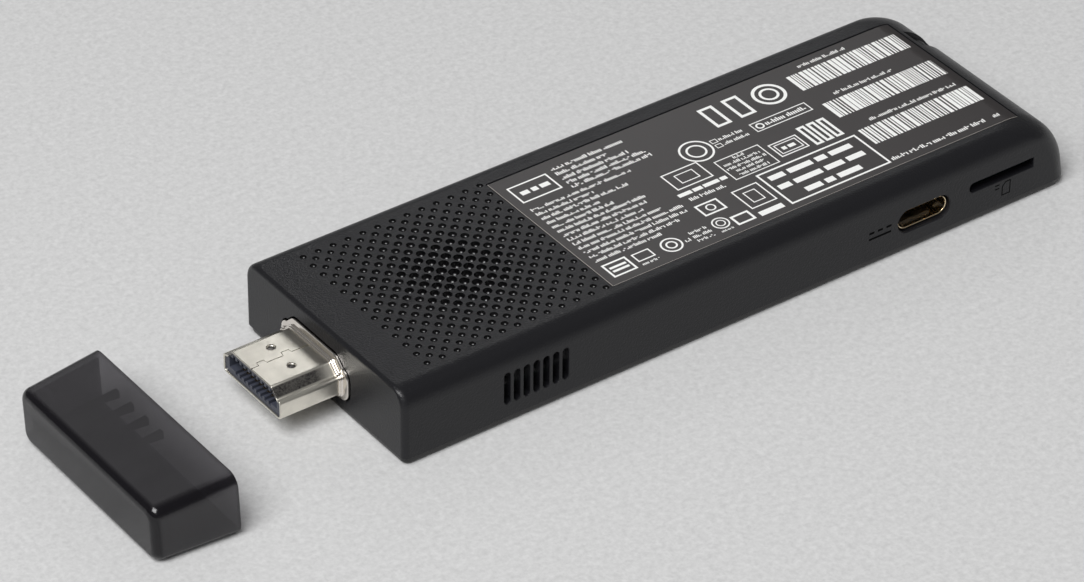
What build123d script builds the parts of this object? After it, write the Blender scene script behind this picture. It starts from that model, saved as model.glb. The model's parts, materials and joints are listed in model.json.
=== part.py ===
from build123d import *
import os
from math import atan, cos, degrees, hypot, radians, sin, tan

# A stick computer lies with its printed side up on a flat surface. A metal video plug
# stands out of one end, and its protective cap lies in front of it, taken off.
# The frame's origin is the centre of the rest face. +X runs from the plug end to the far
# end, +Z is up, and the side with the vents and the two small ports faces -Y.
# All lengths are in millimetres. Places along the body are distances from the plug end
# or from the far end, turned into X by the functions along and from_far.

# Housing
body_length = 115.2
body_width = 38.0
body_height = 12.0
seam_height = 1.0
side_wall = 1.5
roof_wall = 1.5
shoulder_radius = 2.85
far_round_radius = 8.9
far_lean_angle = 6.0
plug_end_radius = 1.4
least_radius = 0.15
overrun = 1.0
peg_sides = 8
drive_sides = 6
plug_end_x = -body_length / 2
far_end_x = body_length / 2
half_width = body_width / 2
inner_half_width = half_width - side_wall
inner_roof = body_height - roof_wall

# Grille: two centred square lattices of dimples, open over the fan's intake
grille_pitch_share = 0.06434
grille_start = 6.67
grille_columns = 13
hole_width_middle = 1.6
hole_width_edge = 0.9
dimple_depth = 0.5
open_hole_sides = 6
dimple_sides = 4
hole_narrowing_share = 0.55
grille_pitch = grille_pitch_share * body_width
grille_span = grille_pitch * (grille_columns - 1)
grille_centre_x = plug_end_x + grille_start + grille_span / 2

# Label and its recess
label_start = 36.9
label_far_gap = 6.9
label_width = 29.4
label_shift = -0.4
label_recess_depth = 0.3
label_thickness = 0.2
label_edge_gap = 0.12

# Side vents
vent_count = 7
vent_pitch = 1.6
vent_slot_width = 1.05
vent_shift = 0.21
vent_height = 5.1
vent_middle_share = 0.496
vent_low = vent_middle_share * body_height - vent_height / 2
vent_high = vent_low + vent_height

# Face cover
cover_edge_inset = 0.35
cover_edge_round = 0.5
cover_floor = 1.6
cover_lip_width = 0.9
cover_lip_clearance = 0.34
cover_lip_gap = 0.1
boss_radius = 2.0
rest_boss_far_gap = 7.7

# Main board and its screws
board_height_share = 0.375
board_thickness = 0.8
board_side_gap = 0.5
board_start = 6.6
board_far_gap = 4.2
board_corner = 2.5
screw_radius = 0.75
screw_hole_gap = 0.1
screw_head_radius = 1.5
screw_head_height = 0.7
screw_bite = 2.4
screw_drive_radius = 0.6
screw_drive_depth = 0.35
front_screw_station = 12.0
front_screw_side_gap = 2.2
rear_screw_far_gap = 37.2
rear_screw_side_gap = 2.6
board_bottom = board_height_share * body_height
board_top = board_bottom + board_thickness

# Video plug
plug_width = 13.9
plug_height = 4.45
plug_top_width = 9.5
plug_shoulder_width = 12.4
plug_ledge_height = 3.05
plug_corner_radius = 0.5
plug_reach = 10.3
plug_rear = 6.4
plug_wall = 0.35
plug_axis_y = 1.75
plug_axis_rise = 0.75
plug_mouth_depth = 7.2
insulator_gap = 0.03
insulator_setback = 0.7
mouth_width = 11.4
mouth_height = 1.9
plug_contact_rows = (10, 9)
plug_contact_pitch = 1.0
plug_contact_width = 0.45
plug_contact_thickness = 0.12
plug_contact_setback = 0.6
plug_leg_length = 1.9
plug_leg_width = 1.0
plug_leg_height = 0.9
latch_hole_radius = 0.75
latch_hole_spacing = 4.96
latch_hole_setback = 4.8
bezel_grow = 0.95
bezel_fit_gap = 0.04
bezel_front = 0.3
bezel_thickness = 0.55
bezel_opening_gap = 0.45
plug_axis_z = board_top + plug_axis_rise

# Protective cap, lying on its drafted face with its mouth towards the plug
cap_gap = 25.4
cap_y = -1.06
cap_depth = 12.5
cap_mouth_width = 35.0
cap_side_draft = 0.9
cap_mouth_height = 9.95
cap_face_draft = 0.475
cap_side_radius = 1.4
cap_end_radius = 1.3
cap_wall = 1.1
cap_rib_count = 4
cap_rib_pitch = 3.6
cap_rib_width = 0.7
cap_rib_shift = 3.3
cap_rib_drop = 0.5
cap_rib_rise = 1.0
cap_rib_setback = 2.2
cap_end_width = cap_mouth_width - 2 * cap_side_draft
cap_end_height = cap_mouth_height - 2 * cap_face_draft

# Fan: a flat blower under the grille, blowing out through the heat fins
fan_width_share = 0.658
fan_corner = 2.0
fan_base = 0.6
fan_lid = 0.5
fan_roof_gap = 0.5
fan_wall = 0.8
fan_ring_share = 0.86
fan_intake_share = 0.6
fan_duct_share = 0.88
fan_tip_share = 0.704
fan_hub_share = 0.36
fan_hub_wall = 0.5
fan_hub_top = 0.5
fan_blade_count = 13
fan_blade_thickness = 0.35
fan_blade_sweep_angle = 38.0
blade_bend_share = 0.3
fan_floor_gap = 0.35
fan_lid_gap = 0.25
fan_shaft_radius = 0.5
fan_shaft_gap = 0.05
fan_shaft_end_gap = 0.1
fan_sleeve_radius = 1.3
fan_sleeve_top_gap = 0.85
fan_sleeve_fit_gap = 0.02
fan_boss_radius = 1.8
fan_boss_share = 0.75
fan_stator_gap = 0.03
fan_stator_teeth = 6
fan_stator_share = 0.7
fan_stator_ring = 0.7
fan_tooth_width = 0.9
fan_magnet_gap = 0.3
fan_screw_inset = 1.9
fan_screw_head_radius = 1.2
fan_screw_head_height = 0.5
fan_screw_radius = 0.6
fan_connector_gap = 0.8
fan_connector_length = 2.8
fan_connector_width = 4.0
fan_connector_height = 1.6
fan_connector_share = 0.5
lead_count = 3
lead_pitch = 0.9
lead_radius = 0.25
fan_size = fan_width_share * body_width
fan_half = fan_size / 2
fan_ring_radius = fan_ring_share * fan_half
fan_intake_radius = fan_intake_share * fan_half
fan_duct_width = fan_duct_share * fan_half
fan_tip_radius = fan_tip_share * fan_half
fan_hub_radius = fan_hub_share * fan_half
fan_connector_y = fan_connector_share * fan_half
fan_height = inner_roof - fan_roof_gap - board_top
fan_floor = board_top + fan_base
fan_top = board_top + fan_height
rotor_low = fan_floor + fan_floor_gap
rotor_high = fan_top - fan_lid - fan_lid_gap
fan_sleeve_height = rotor_high - fan_hub_top - fan_sleeve_top_gap - fan_floor
fan_boss_height = fan_boss_share * fan_sleeve_height
fan_stator_height = fan_stator_share * fan_sleeve_height

# Cooler: fins at the fan's outlet, a flat heat pipe and the plate over the processor
fin_count = 9
fin_thickness = 0.35
fin_base = 0.4
fin_gap = 0.3
pipe_thickness = 1.2
pipe_width_share = 0.72
pipe_bend_radius = 4.0
pipe_turn_share = 0.22
pipe_end_gap = 1.0
pipe_roof_gap = 0.8
processor_gap = 4.4
package_share = 0.727
package_height = 1.0
die_share = 0.409
die_height = 0.3
pad_height = 0.5
pad_overhang = 0.5
spreader_length_share = 0.46
spreader_width_share = 0.579
spreader_shift_share = 0.0395
rear_zone = 33.4
leg_size = 2.6
cooler_screw_radius = 0.6
cooler_head_radius = 1.2
cooler_head_height = 0.45
board_zone = body_length - grille_start - grille_span / 2 - fan_half - rear_zone
spreader_length = spreader_length_share * board_zone
spreader_width = spreader_width_share * body_width
spreader_y = -spreader_shift_share * body_width
package_size = package_share * min(spreader_length, spreader_width)
die_size = die_share * min(spreader_length, spreader_width)

# Chips on the board
chip_gap = 1.5
memory_length_share = 0.167
memory_width_share = 0.29
memory_height = 0.9
memory_count = 2
memory_spacing_share = 0.342
storage_length_share = 0.24
storage_width = 9.0
storage_height = 0.8
storage_side_gap = 3.2
controller_share = 0.1
controller_height = 0.8
controller_shift_share = 0.013
inductor_share = 0.084
inductor_height = 1.8
inductor_count = 2
inductor_gap = 1.2
inductor_corner = 0.6
capacitor_length = 1.6
capacitor_width = 0.8
capacitor_height = 0.8
capacitor_count = 5
capacitor_pitch = 1.7
crystal_length = 3.2
crystal_width = 2.5
crystal_height = 0.7
crystal_shift_share = 0.237
module_size = 11.0
module_height = 1.7
module_far_gap = 5.8
module_shift_share = 0.1947
module_can_inset = 0.6
module_base = 0.5
socket_radius = 0.9
socket_height = 0.5
memory_length = memory_length_share * board_zone
memory_width = memory_width_share * body_width
memory_spacing = memory_spacing_share * body_width
storage_length = storage_length_share * board_zone
controller_size = controller_share * board_zone
controller_y = controller_shift_share * body_width
inductor_size = inductor_share * board_zone
inductor_pitch = inductor_size + inductor_gap
inductor_edge_y = controller_y - controller_size / 2 - inductor_gap
crystal_y = crystal_shift_share * body_width
module_y = module_shift_share * body_width

# Antennas under the roof and their leads
antenna_length = 18.0
antenna_width = 6.0
antenna_thickness = 0.25
antenna_far_gap = 11.5
antenna_side_gap = 2.4
antenna_lead_radius = 0.4
antenna_lead_bend = 1.3
antenna_lead_inset = 3.4
antenna_lead_spacing = 4.4
lead_bend_limit_share = 0.9

# Power socket in the port side
usb_c_width = 8.94
usb_c_height = 3.2
usb_c_wall = 0.3
usb_c_depth = 7.3
usb_c_far_gap = 26.9
usb_c_sink = 0.1
usb_c_opening_gap = 0.22
usb_c_setback = 1.65
usb_c_tongue_width = 6.69
usb_c_tongue_height = 0.7
usb_c_tongue_length = 4.45
usb_c_block_length = 1.6
usb_c_contact_count = 12
usb_c_contact_pitch = 0.5
usb_c_contact_width = 0.24
usb_c_contact_thickness = 0.06
usb_c_contact_length = 3.2
socket_fit_gap = 0.04
tab_length = 1.2
tab_width = 2.4
tab_height = 0.3
board_cut_gap = 0.2

# Memory card socket behind its slot
card_slot_far_gap = 12.85
card_slot_width = 11.7
card_slot_height = 1.6
card_slot_rise = 0.8
card_socket_width = 14.2
card_socket_depth = 14.2
card_base_floor = 0.3
card_rail_width = 1.2
card_rail_height = 1.1
card_cover_thickness = 0.2
card_cover_flange = 0.2
card_cover_gap = 0.03
card_socket_setback = 1.7
card_contact_count = 8
card_contact_pitch = 1.1
card_contact_width = 0.6
card_contact_length = 5.0
card_contact_thickness = 0.15
card_slider_width = 1.0
card_slider_length = 3.4
card_slider_height = 0.7
card_slider_gap = 0.06
card_slider_travel = 1.2
card_window_size = 2.4

# Full-size socket in the hidden side
usb_a_width = 13.14
usb_a_height = 5.72
usb_a_wall = 0.3
usb_a_depth = 13.5
usb_a_far_gap = 26.5
usb_a_axis_rise = 0.7
usb_a_opening_gap = 0.3
usb_a_setback = 0.4
usb_a_corner = 0.5
usb_a_tongue_width = 11.1
usb_a_tongue_height = 1.84
usb_a_tongue_length = 8.2
usb_a_block_length = 4.0
usb_a_tongue_rise = 1.0
usb_a_contact_count = 4
usb_a_contact_pitch = 2.3
usb_a_contact_width = 1.0
usb_a_contact_length = 6.4
usb_a_contact_thickness = 0.1
spring_window_width = 1.8
spring_window_length = 4.0
spring_window_offset = 3.3

# Power button, switch and status light in the hidden side
button_station_share = 0.521
button_width = 7.0
button_height = 2.4
button_rise = 0.9
button_proud = 0.3
button_gap = 0.2
button_flange_overlap = 0.7
button_flange_thickness = 0.7
button_flange_gap = 0.08
button_travel = 0.35
button_edge_bevel = 0.2
switch_gap = 0.1
switch_width = 3.6
switch_depth = 2.2
switch_height = 1.8
nub_width = 1.6
nub_height = 0.9
nub_length = 0.4
light_station_share = 0.58
light_pipe_radius = 0.7
light_pipe_gap = 0.08
light_foot_depth = 1.8
light_foot_width = 1.6
led_depth = 0.8
led_height = 0.6
led_gap = 0.05
button_station = button_station_share * body_length
light_station = light_station_share * body_length

# Lanyard notch and bar in the far end
notch_y = 9.45
notch_width = 4.3
notch_start_gap = 6.2
notch_depth = 4.4
notch_round = 0.6
bar_radius = 0.8
bar_far_gap = 3.9
bar_drop = 3.4
bar_ear = 0.9
bar_ear_wall = 0.6
bar_ear_gap = 0.05
notch_low = body_height - notch_depth
bar_height = body_height - bar_drop


def along(distance):
    """X of a place at a distance from the plug end."""
    return plug_end_x + distance


def from_far(distance):
    """X of a place at a distance from the far end."""
    return far_end_x - distance


def block(x_range, y_range, z_range):
    """Box between two corners given as pairs."""
    low = [min(pair) for pair in (x_range, y_range, z_range)]
    high = [max(pair) for pair in (x_range, y_range, z_range)]
    size = [b - a for a, b in zip(low, high)]
    centre = [(a + b) / 2 for a, b in zip(low, high)]
    return Pos(*centre) * Box(*size)


def centred(middle, size):
    """Pair of ends of a stretch with the given middle and size."""
    return (middle - size / 2, middle + size / 2)


def post(x, y, low, high, radius):
    """Upright cylinder between two heights."""
    return Pos(x, y, (low + high) / 2) * Cylinder(radius, high - low)


def peg(x, y, low, high, radius):
    """Upright eight-sided prism, which stands for a small round."""
    return Pos(x, y, low) * extrude(RegularPolygon(radius, peg_sides), high - low)


def group(shapes):
    """Separate solids that share one node."""
    return Compound(children=[solid for shape in shapes for solid in shape.solids()])


def far_x(height, inset):
    """X of the leaning far wall at a height, shrunk by inset."""
    lean = tan(radians(far_lean_angle))
    return far_end_x - inset - lean * (height - seam_height)


def body_form(inset, low, high, soft=True):
    """Housing form shrunk by inset: leaning far wall with a large top round and, where it is
    soft, round long shoulders and a small round at the plug end."""
    start = plug_end_x + inset
    half = half_width - inset
    outline = Polyline((start, low), (far_x(low, inset), low), (far_x(high, inset), high),
                       (start, high), close=True)
    profile = make_face(Plane.XZ * outline)
    far_corner = profile.vertices().sort_by(lambda v: v.X + v.Z)[-1]
    profile = fillet(far_corner, max(far_round_radius - inset, least_radius))
    form = extrude(profile, half, both=True)
    if not soft:
        return form
    near = least_radius / 2
    sides = [e for e in form.edges() if abs(abs(e.center().Y) - half) < near
             and e.center().X > start + near and e.center().Z > low + near]
    form = fillet(sides, max(shoulder_radius - inset, least_radius))
    rim = [e for e in form.edges() if abs(e.center().X - start) < near
           and e.center().Z > low + near]
    return fillet(rim, max(plug_end_radius - inset, least_radius))


def base_outline(inset, height):
    """Plan outline of the housing, shrunk by inset, that stays inside it up to a height."""
    start = plug_end_x + inset
    end = far_x(height, inset)
    face = Pos((start + end) / 2, 0) * Rectangle(end - start, body_width - 2 * inset)
    corners = face.vertices().sort_by(Axis.X)
    face = fillet(corners[:2], max(plug_end_radius - inset, least_radius))
    corners = face.vertices().sort_by(Axis.X)
    return fillet(corners[-2:], max(shoulder_radius - inset, least_radius))


def hole_width(x, y):
    """Width of a grille hole: widest over the intake, narrowing towards the edge."""
    reach = grille_span * hole_narrowing_share
    share = min(hypot(x - grille_centre_x, y) / reach, 1)
    return hole_width_middle - (hole_width_middle - hole_width_edge) * share


def grille_places():
    """Centres of both lattices of the grille."""
    places = []
    for shift, count in ((0, grille_columns), (0.5, grille_columns - 1)):
        for i in range(count):
            for j in range(count):
                x = along(grille_start) + (i + shift) * grille_pitch
                y = (j + shift) * grille_pitch - grille_span / 2
                places.append((x, y))
    return places


def grille_cuts():
    """Holes over the fan's intake and dimples round them."""
    through, dimples = [], []
    for x, y in grille_places():
        is_open = hypot(x - grille_centre_x, y) < fan_intake_radius
        sides = open_hole_sides if is_open else dimple_sides
        cell = Pos(x, y) * RegularPolygon(hole_width(x, y) / 2, sides)
        (through if is_open else dimples).append(cell)
    through = Pos(0, 0, inner_roof - overrun) * Sketch(children=through)
    dimples = Pos(0, 0, body_height - dimple_depth) * Sketch(children=dimples)
    cuts = [extrude(through, roof_wall + 2 * overrun), extrude(dimples, dimple_depth + overrun)]
    return [solid for cut in cuts for solid in cut.solids()]


def vent_cuts(side):
    """Row of upright slots with round ends through one long wall."""
    centre = grille_centre_x + vent_shift
    slot = SlotOverall(vent_high - vent_low, vent_slot_width, rotation=90)
    row = []
    for i in range(vent_count):
        x = centre + (i - (vent_count - 1) / 2) * vent_pitch
        row.append(Pos(x, side * half_width, (vent_low + vent_high) / 2) * Rot(90, 0, 0) * slot)
    return [extrude(face, side_wall + overrun, both=True) for face in row]


def side_cut(x, z, face, side):
    """Cut of a face's outline through one long wall."""
    placed = Pos(x, side * half_width, z) * Rot(90, 0, 0) * face
    return extrude(placed, side_wall + overrun, both=True)


def plug_profile(grow):
    """Section of the plug in its own axes, wide side down, grown by a clearance."""
    half, top, shoulder = plug_width / 2, plug_top_width / 2, plug_shoulder_width / 2
    low, high = -plug_height / 2, plug_height / 2
    ledge = low + plug_ledge_height
    right = [(half, low), (half, ledge), (shoulder, ledge), (top, high)]
    left = [(-y, z) for y, z in reversed(right)]
    face = make_face(Polyline(*right, *left, close=True))
    corners = face.vertices().sort_by(Axis.Y)[:2]
    face = fillet(corners, plug_corner_radius)
    if grow:
        face = offset(face, grow, kind=Kind.INTERSECTION)
    return face


def plug_stretch(face, start, end):
    """Section carried along X between two places."""
    plane = Plane(origin=(start, plug_axis_y, plug_axis_z), x_dir=(0, 1, 0), z_dir=(1, 0, 0))
    return extrude(plane * face, end - start)


def make_label_shell():
    shell = body_form(0, seam_height, body_height)
    shell -= body_form(side_wall, seam_height - overrun, inner_roof, soft=False)
    recess = label_block(0, body_height + overrun) - body_form(label_recess_depth, 0,
                                                                body_height - label_recess_depth)
    shell -= recess
    shell -= grille_cuts()
    shell -= vent_cuts(-1) + vent_cuts(1)
    shell -= plug_stretch(plug_profile(bezel_grow + bezel_opening_gap), plug_end_x - overrun,
                          plug_end_x + side_wall + overrun)
    usb_c_face = SlotOverall(usb_c_width + 2 * usb_c_opening_gap,
                             usb_c_height + 2 * usb_c_opening_gap)
    shell -= side_cut(from_far(usb_c_far_gap), usb_c_axis_z(), usb_c_face, -1)
    card_face = SlotOverall(card_slot_width, card_slot_height)
    card_face += Pos(card_slot_width / 4, 0) * Rectangle(card_slot_width / 2, card_slot_height)
    shell -= side_cut(from_far(card_slot_far_gap), card_slot_z(), card_face, -1)
    usb_a_face = RectangleRounded(usb_a_width + 2 * usb_a_opening_gap,
                                  usb_a_height + 2 * usb_a_opening_gap, usb_a_corner)
    shell -= side_cut(from_far(usb_a_far_gap), usb_a_axis_z(), usb_a_face, 1)
    button_face = SlotOverall(button_width + 2 * button_gap, button_height + 2 * button_gap)
    shell -= side_cut(along(button_station), button_z(), button_face, 1)
    light_face = Circle(light_pipe_radius + light_pipe_gap)
    shell -= side_cut(along(light_station), button_z(), light_face, 1)
    shell -= notch_cut()
    return shell


def notch_cut():
    """Pocket through the far top edge, open upwards and outwards."""
    x_range = (from_far(notch_start_gap), far_end_x + overrun)
    notch = block(x_range, centred(notch_y, notch_width), (notch_low, body_height + overrun))
    corners = notch.edges().filter_by(Axis.X).group_by(Axis.Z)[0]
    return fillet(corners, notch_round)


def label_block(gap, top):
    """Upright block over the label's area, shrunk by a gap all round."""
    x_range = (along(label_start) + gap, from_far(label_far_gap) - gap)
    y_range = centred(label_shift, label_width - 2 * gap)
    return block(x_range, y_range, (inner_roof, top))


def make_rating_label():
    """Sheet that lies on the recess floor and follows its bend at the far end."""
    sink = label_recess_depth - label_thickness
    sheet = body_form(sink, 0, body_height - sink)
    sheet -= body_form(label_recess_depth, 0, body_height - label_recess_depth)
    return sheet & label_block(label_edge_gap, body_height)


def screw_places():
    """Places of the four board screws."""
    front, rear = along(front_screw_station), from_far(rear_screw_far_gap)
    front_y = inner_half_width - front_screw_side_gap
    rear_y = inner_half_width - rear_screw_side_gap
    return [(front, -front_y), (front, front_y), (rear, -rear_y), (rear, rear_y)]


def make_face_cover():
    cover = extrude(base_outline(cover_edge_inset, seam_height), seam_height)
    rim = cover.edges().group_by(Axis.Z)[0]
    cover = fillet(rim, min(cover_edge_round, seam_height / 2))
    inset = side_wall + cover_lip_gap
    lip_top = usb_a_axis_z() - usb_a_height / 2 - cover_lip_clearance
    tray = Pos(0, 0, seam_height) * base_outline(inset, lip_top)
    cover += extrude(tray, lip_top - seam_height)
    hollow = Pos(0, 0, cover_floor) * base_outline(inset + cover_lip_width, lip_top)
    cover -= extrude(hollow, lip_top)
    for x, y in screw_places() + [(from_far(rest_boss_far_gap), 0)]:
        cover += peg(x, y, cover_floor, board_bottom, boss_radius)
    for x, y in screw_places():
        pilot = screw_radius + screw_hole_gap / 2
        cover -= peg(x, y, board_bottom - screw_bite, board_bottom + overrun, pilot)
    return cover


def make_mainboard():
    start, end = along(board_start), from_far(board_far_gap)
    face = Pos((start + end) / 2, 0) * RectangleRounded(
        end - start, 2 * (inner_half_width - board_side_gap), board_corner)
    board = extrude(Pos(0, 0, board_bottom) * face, board_thickness)
    for x, y in screw_places():
        board -= peg(x, y, board_bottom - overrun, board_top + overrun,
                     screw_radius + screw_hole_gap)
    for x, y in fan_screw_places():
        board -= peg(x, y, board_bottom - overrun, board_top + overrun,
                     fan_screw_radius + screw_hole_gap)
    for x, y in cooler_screw_places():
        board -= peg(x, y, board_bottom - overrun, board_top + overrun,
                     cooler_screw_radius + screw_hole_gap)
    gap = board_cut_gap
    inner = half_width - usb_c_setback - usb_c_depth - gap
    board -= block(centred(from_far(usb_c_far_gap), usb_c_width + 2 * gap),
                   (-inner, -half_width), (board_bottom - overrun, board_top + overrun))
    inner = half_width - usb_a_setback - usb_a_depth - gap
    board -= block(centred(from_far(usb_a_far_gap), usb_a_width + 2 * gap),
                   (inner, half_width), (board_bottom - overrun, board_top + overrun))
    inner = button_flange_back() - button_travel - gap
    board -= block(centred(along(button_station), button_flange_size()[0] + 2 * gap),
                   (inner, half_width), (board_bottom - overrun, board_top + overrun))
    return board


def screw(x, y, seat, head_radius, head_height, radius, length):
    """Pan screw with a six-sided drive in its head."""
    body = peg(x, y, seat, seat + head_height, head_radius)
    body += peg(x, y, seat - length, seat, radius)
    drive = Pos(x, y, seat + head_height - screw_drive_depth) * RegularPolygon(
        screw_drive_radius, drive_sides)
    return body - extrude(drive, screw_drive_depth + overrun)


def make_board_screws():
    length = board_thickness + screw_bite - screw_hole_gap
    return group([screw(x, y, board_top, screw_head_radius, screw_head_height,
                        screw_radius, length) for x, y in screw_places()])


def make_hdmi_shell():
    front, rear = plug_end_x - plug_reach, along(plug_rear)
    shell = plug_stretch(plug_profile(0), front, rear)
    shell -= plug_stretch(plug_profile(-plug_wall), front - overrun, rear + overrun)
    for share in (-0.5, 0.5):
        place = (front + latch_hole_setback, plug_axis_y + share * latch_hole_spacing)
        shell -= post(*place, plug_axis_z - plug_height, plug_axis_z + plug_height,
                      latch_hole_radius)
    leg_x = (rear - plug_leg_width, rear + plug_leg_length)
    for side in (-1, 1):
        outer = plug_axis_y + side * plug_width / 2
        shell += block(leg_x, (outer, outer - side * plug_wall),
                       (board_top, board_top + plug_leg_height))
        shell += block((rear, rear + plug_leg_length), (outer, outer - side * plug_leg_width),
                       (board_top, board_top + plug_wall))
    return shell


def plug_insert_front():
    """X of the plug insert's front face."""
    return plug_end_x - plug_reach + insulator_setback


def make_hdmi_insulator():
    front, rear = plug_insert_front(), along(plug_rear)
    insert = plug_stretch(plug_profile(-(plug_wall + insulator_gap)), front, rear)
    mouth = Pos(0, 0) * Rectangle(mouth_width, mouth_height)
    return insert - plug_stretch(mouth, front - overrun, front + plug_mouth_depth)


def make_hdmi_contacts():
    """Two rows of flat springs on the floor and the roof of the mouth."""
    front = plug_insert_front() + plug_contact_setback
    rear = plug_insert_front() + plug_mouth_depth
    contacts = []
    for side, count in zip((1, -1), plug_contact_rows):
        wall = side * mouth_height / 2
        for i in range(count):
            y = plug_axis_y + (i - (count - 1) / 2) * plug_contact_pitch
            z_range = (plug_axis_z + wall, plug_axis_z + wall - side * plug_contact_thickness)
            contacts.append(block((front, rear), centred(y, plug_contact_width), z_range))
    return group(contacts)


def make_hdmi_bezel():
    """Collar round the plug's root, standing a little out of the end wall."""
    start = plug_end_x - bezel_front
    ring = plug_stretch(plug_profile(bezel_grow), start, start + bezel_thickness)
    return ring - plug_stretch(plug_profile(bezel_fit_gap), start - overrun,
                               start + bezel_thickness + overrun)


def cap_draft():
    """Angle between the cap's axis and the broad face that it lies on."""
    return degrees(atan(cap_face_draft / cap_depth))


def cap_form(start, end, inset):
    """Drafted block along the cap's axis between two distances from its closed end."""
    sections = []
    for distance in (start, end):
        share = distance / cap_depth
        width = cap_end_width + (cap_mouth_width - cap_end_width) * share - 2 * inset
        height = cap_end_height + (cap_mouth_height - cap_end_height) * share - 2 * inset
        plane = Plane(origin=(distance, 0, 0), x_dir=(0, 1, 0), z_dir=(1, 0, 0))
        sections.append(plane * Rectangle(width, height))
    return loft(sections, ruled=True)


def laid_cap(shape):
    """Cap piece turned onto its broad face and put in its place by the plug."""
    draft = cap_draft()
    drop = cap_mouth_height / 2 * cos(radians(draft)) - cap_depth * sin(radians(draft))
    x = plug_end_x - cap_gap - cap_depth
    return Pos(x, cap_y, drop) * Rot(0, -draft, 0) * shape


def make_plug_cap():
    outer = cap_form(0, cap_depth, 0)
    long_edges = [e for e in outer.edges() if abs(e.center().X - cap_depth / 2) < least_radius]
    outer = fillet(long_edges, cap_side_radius)
    outer = fillet(outer.edges().group_by(Axis.X)[0], cap_end_radius)
    inner = cap_form(cap_wall, cap_depth + overrun, cap_wall)
    cap = outer - inner
    rib_range = (cap_wall / 2, cap_depth - cap_rib_setback)
    inner_top = cap_mouth_height / 2 - cap_wall
    inner_end = cap_end_height / 2 - cap_wall
    for i in range(cap_rib_count):
        y = cap_rib_shift + (i - (cap_rib_count - 1) / 2) * cap_rib_pitch
        y_range = centred(y, cap_rib_width)
        rib = block(rib_range, y_range, (inner_end - cap_rib_drop, inner_top + cap_wall / 2))
        rib += block(rib_range, y_range, (-inner_top - cap_wall / 2, -inner_end + cap_rib_rise))
        cap += rib & outer
    return laid_cap(cap)


def fan_screw_places():
    """Places of the screws in the corners of the fan's base."""
    reach = fan_half - fan_screw_inset
    return [(grille_centre_x + i * reach, j * reach) for i in (-1, 1) for j in (-1, 1)]


def make_fan_frame():
    centre = Pos(grille_centre_x, 0)
    inner_radius = fan_ring_radius - fan_wall
    base = extrude(Pos(0, 0, board_top) * centre * RectangleRounded(fan_size, fan_size, fan_corner),
                   fan_base)
    duct = Pos(0, -fan_half / 2)
    outline = Circle(fan_ring_radius) + duct * Rectangle(fan_duct_width + 2 * fan_wall, fan_half)
    hollow = Circle(inner_radius)
    hollow += Pos(0, -fan_half / 2 - overrun) * Rectangle(fan_duct_width, fan_half + 2 * overrun)
    frame = base + extrude(Pos(0, 0, board_top) * centre * outline, fan_height)
    free_height = fan_height - fan_base - fan_lid
    frame -= extrude(Pos(0, 0, fan_floor) * centre * hollow, free_height)
    frame -= post(grille_centre_x, 0, fan_floor + free_height / 2, fan_top + overrun,
                  fan_intake_radius)
    frame += post(grille_centre_x, 0, fan_floor, fan_floor + fan_boss_height, fan_boss_radius)
    frame -= post(grille_centre_x, 0, fan_floor, fan_top + overrun,
                  fan_sleeve_radius + fan_sleeve_fit_gap)
    for x, y in fan_screw_places():
        frame -= peg(x, y, board_top - overrun, fan_floor + overrun,
                     fan_screw_radius + screw_hole_gap)
    return frame


def make_fan_rotor():
    """Cup-shaped hub with blades that lean back against the turn."""
    low, high = rotor_low, rotor_high
    hub = post(grille_centre_x, 0, low, high, fan_hub_radius)
    hub -= post(grille_centre_x, 0, low - overrun, high - fan_hub_top,
                fan_hub_radius - fan_hub_wall)
    hub -= post(grille_centre_x, 0, low, high + overrun, fan_shaft_radius)
    blade = Pos(grille_centre_x, 0, low) * extrude(blade_outline(), high - low)
    turn = 360 / fan_blade_count
    axis = Axis((grille_centre_x, 0, 0), (0, 0, 1))
    for i in range(fan_blade_count):
        hub += blade.rotate(axis, i * turn)
    return hub


def blade_outline():
    """Bent strip from inside the hub's wall out to the tip circle."""
    root = fan_hub_radius - fan_hub_wall / 2
    middle = (root + fan_tip_radius) / 2
    sweep = radians(fan_blade_sweep_angle)
    half = fan_blade_thickness / 2

    def at(radius, turn, shift):
        return (radius * cos(turn) - shift * sin(turn), radius * sin(turn) + shift * cos(turn))

    front = [at(root, 0, half), at(middle, sweep * blade_bend_share, half),
             at(fan_tip_radius, sweep, half)]
    back = [at(root, 0, -half), at(middle, sweep * blade_bend_share, -half),
            at(fan_tip_radius, sweep, -half)]
    return make_face(Polyline(*front, *reversed(back), close=True))


def make_fan_shaft():
    return post(grille_centre_x, 0, fan_floor + fan_shaft_end_gap, rotor_high, fan_shaft_radius)


def make_fan_sleeve():
    sleeve = post(grille_centre_x, 0, fan_floor, fan_floor + fan_sleeve_height, fan_sleeve_radius)
    return sleeve - post(grille_centre_x, 0, fan_floor, fan_floor + fan_sleeve_height + overrun,
                         fan_shaft_radius + fan_shaft_gap)


def make_fan_stator():
    """Wound core with teeth inside the rotor's cup."""
    inner = fan_boss_radius + fan_stator_gap
    outer = fan_hub_radius - fan_hub_wall - fan_magnet_gap
    core = Circle(inner + fan_stator_ring)
    arm = Pos(outer / 2, 0) * Rectangle(outer, fan_tooth_width)
    for i in range(fan_stator_teeth):
        core += Rot(0, 0, i * 360 / fan_stator_teeth) * arm
    core = core & Circle(outer)
    core -= Circle(inner)
    return extrude(Pos(grille_centre_x, 0, fan_floor) * core, fan_stator_height)


def make_fan_screws():
    length = fan_base + board_thickness
    screws = []
    for x, y in fan_screw_places():
        body = peg(x, y, fan_floor, fan_floor + fan_screw_head_height, fan_screw_head_radius)
        screws.append(body + peg(x, y, fan_floor - length, fan_floor, fan_screw_radius))
    return group(screws)


def connector_x():
    """X of the fan connector's near face."""
    return grille_centre_x + fan_half + fan_connector_gap


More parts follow.
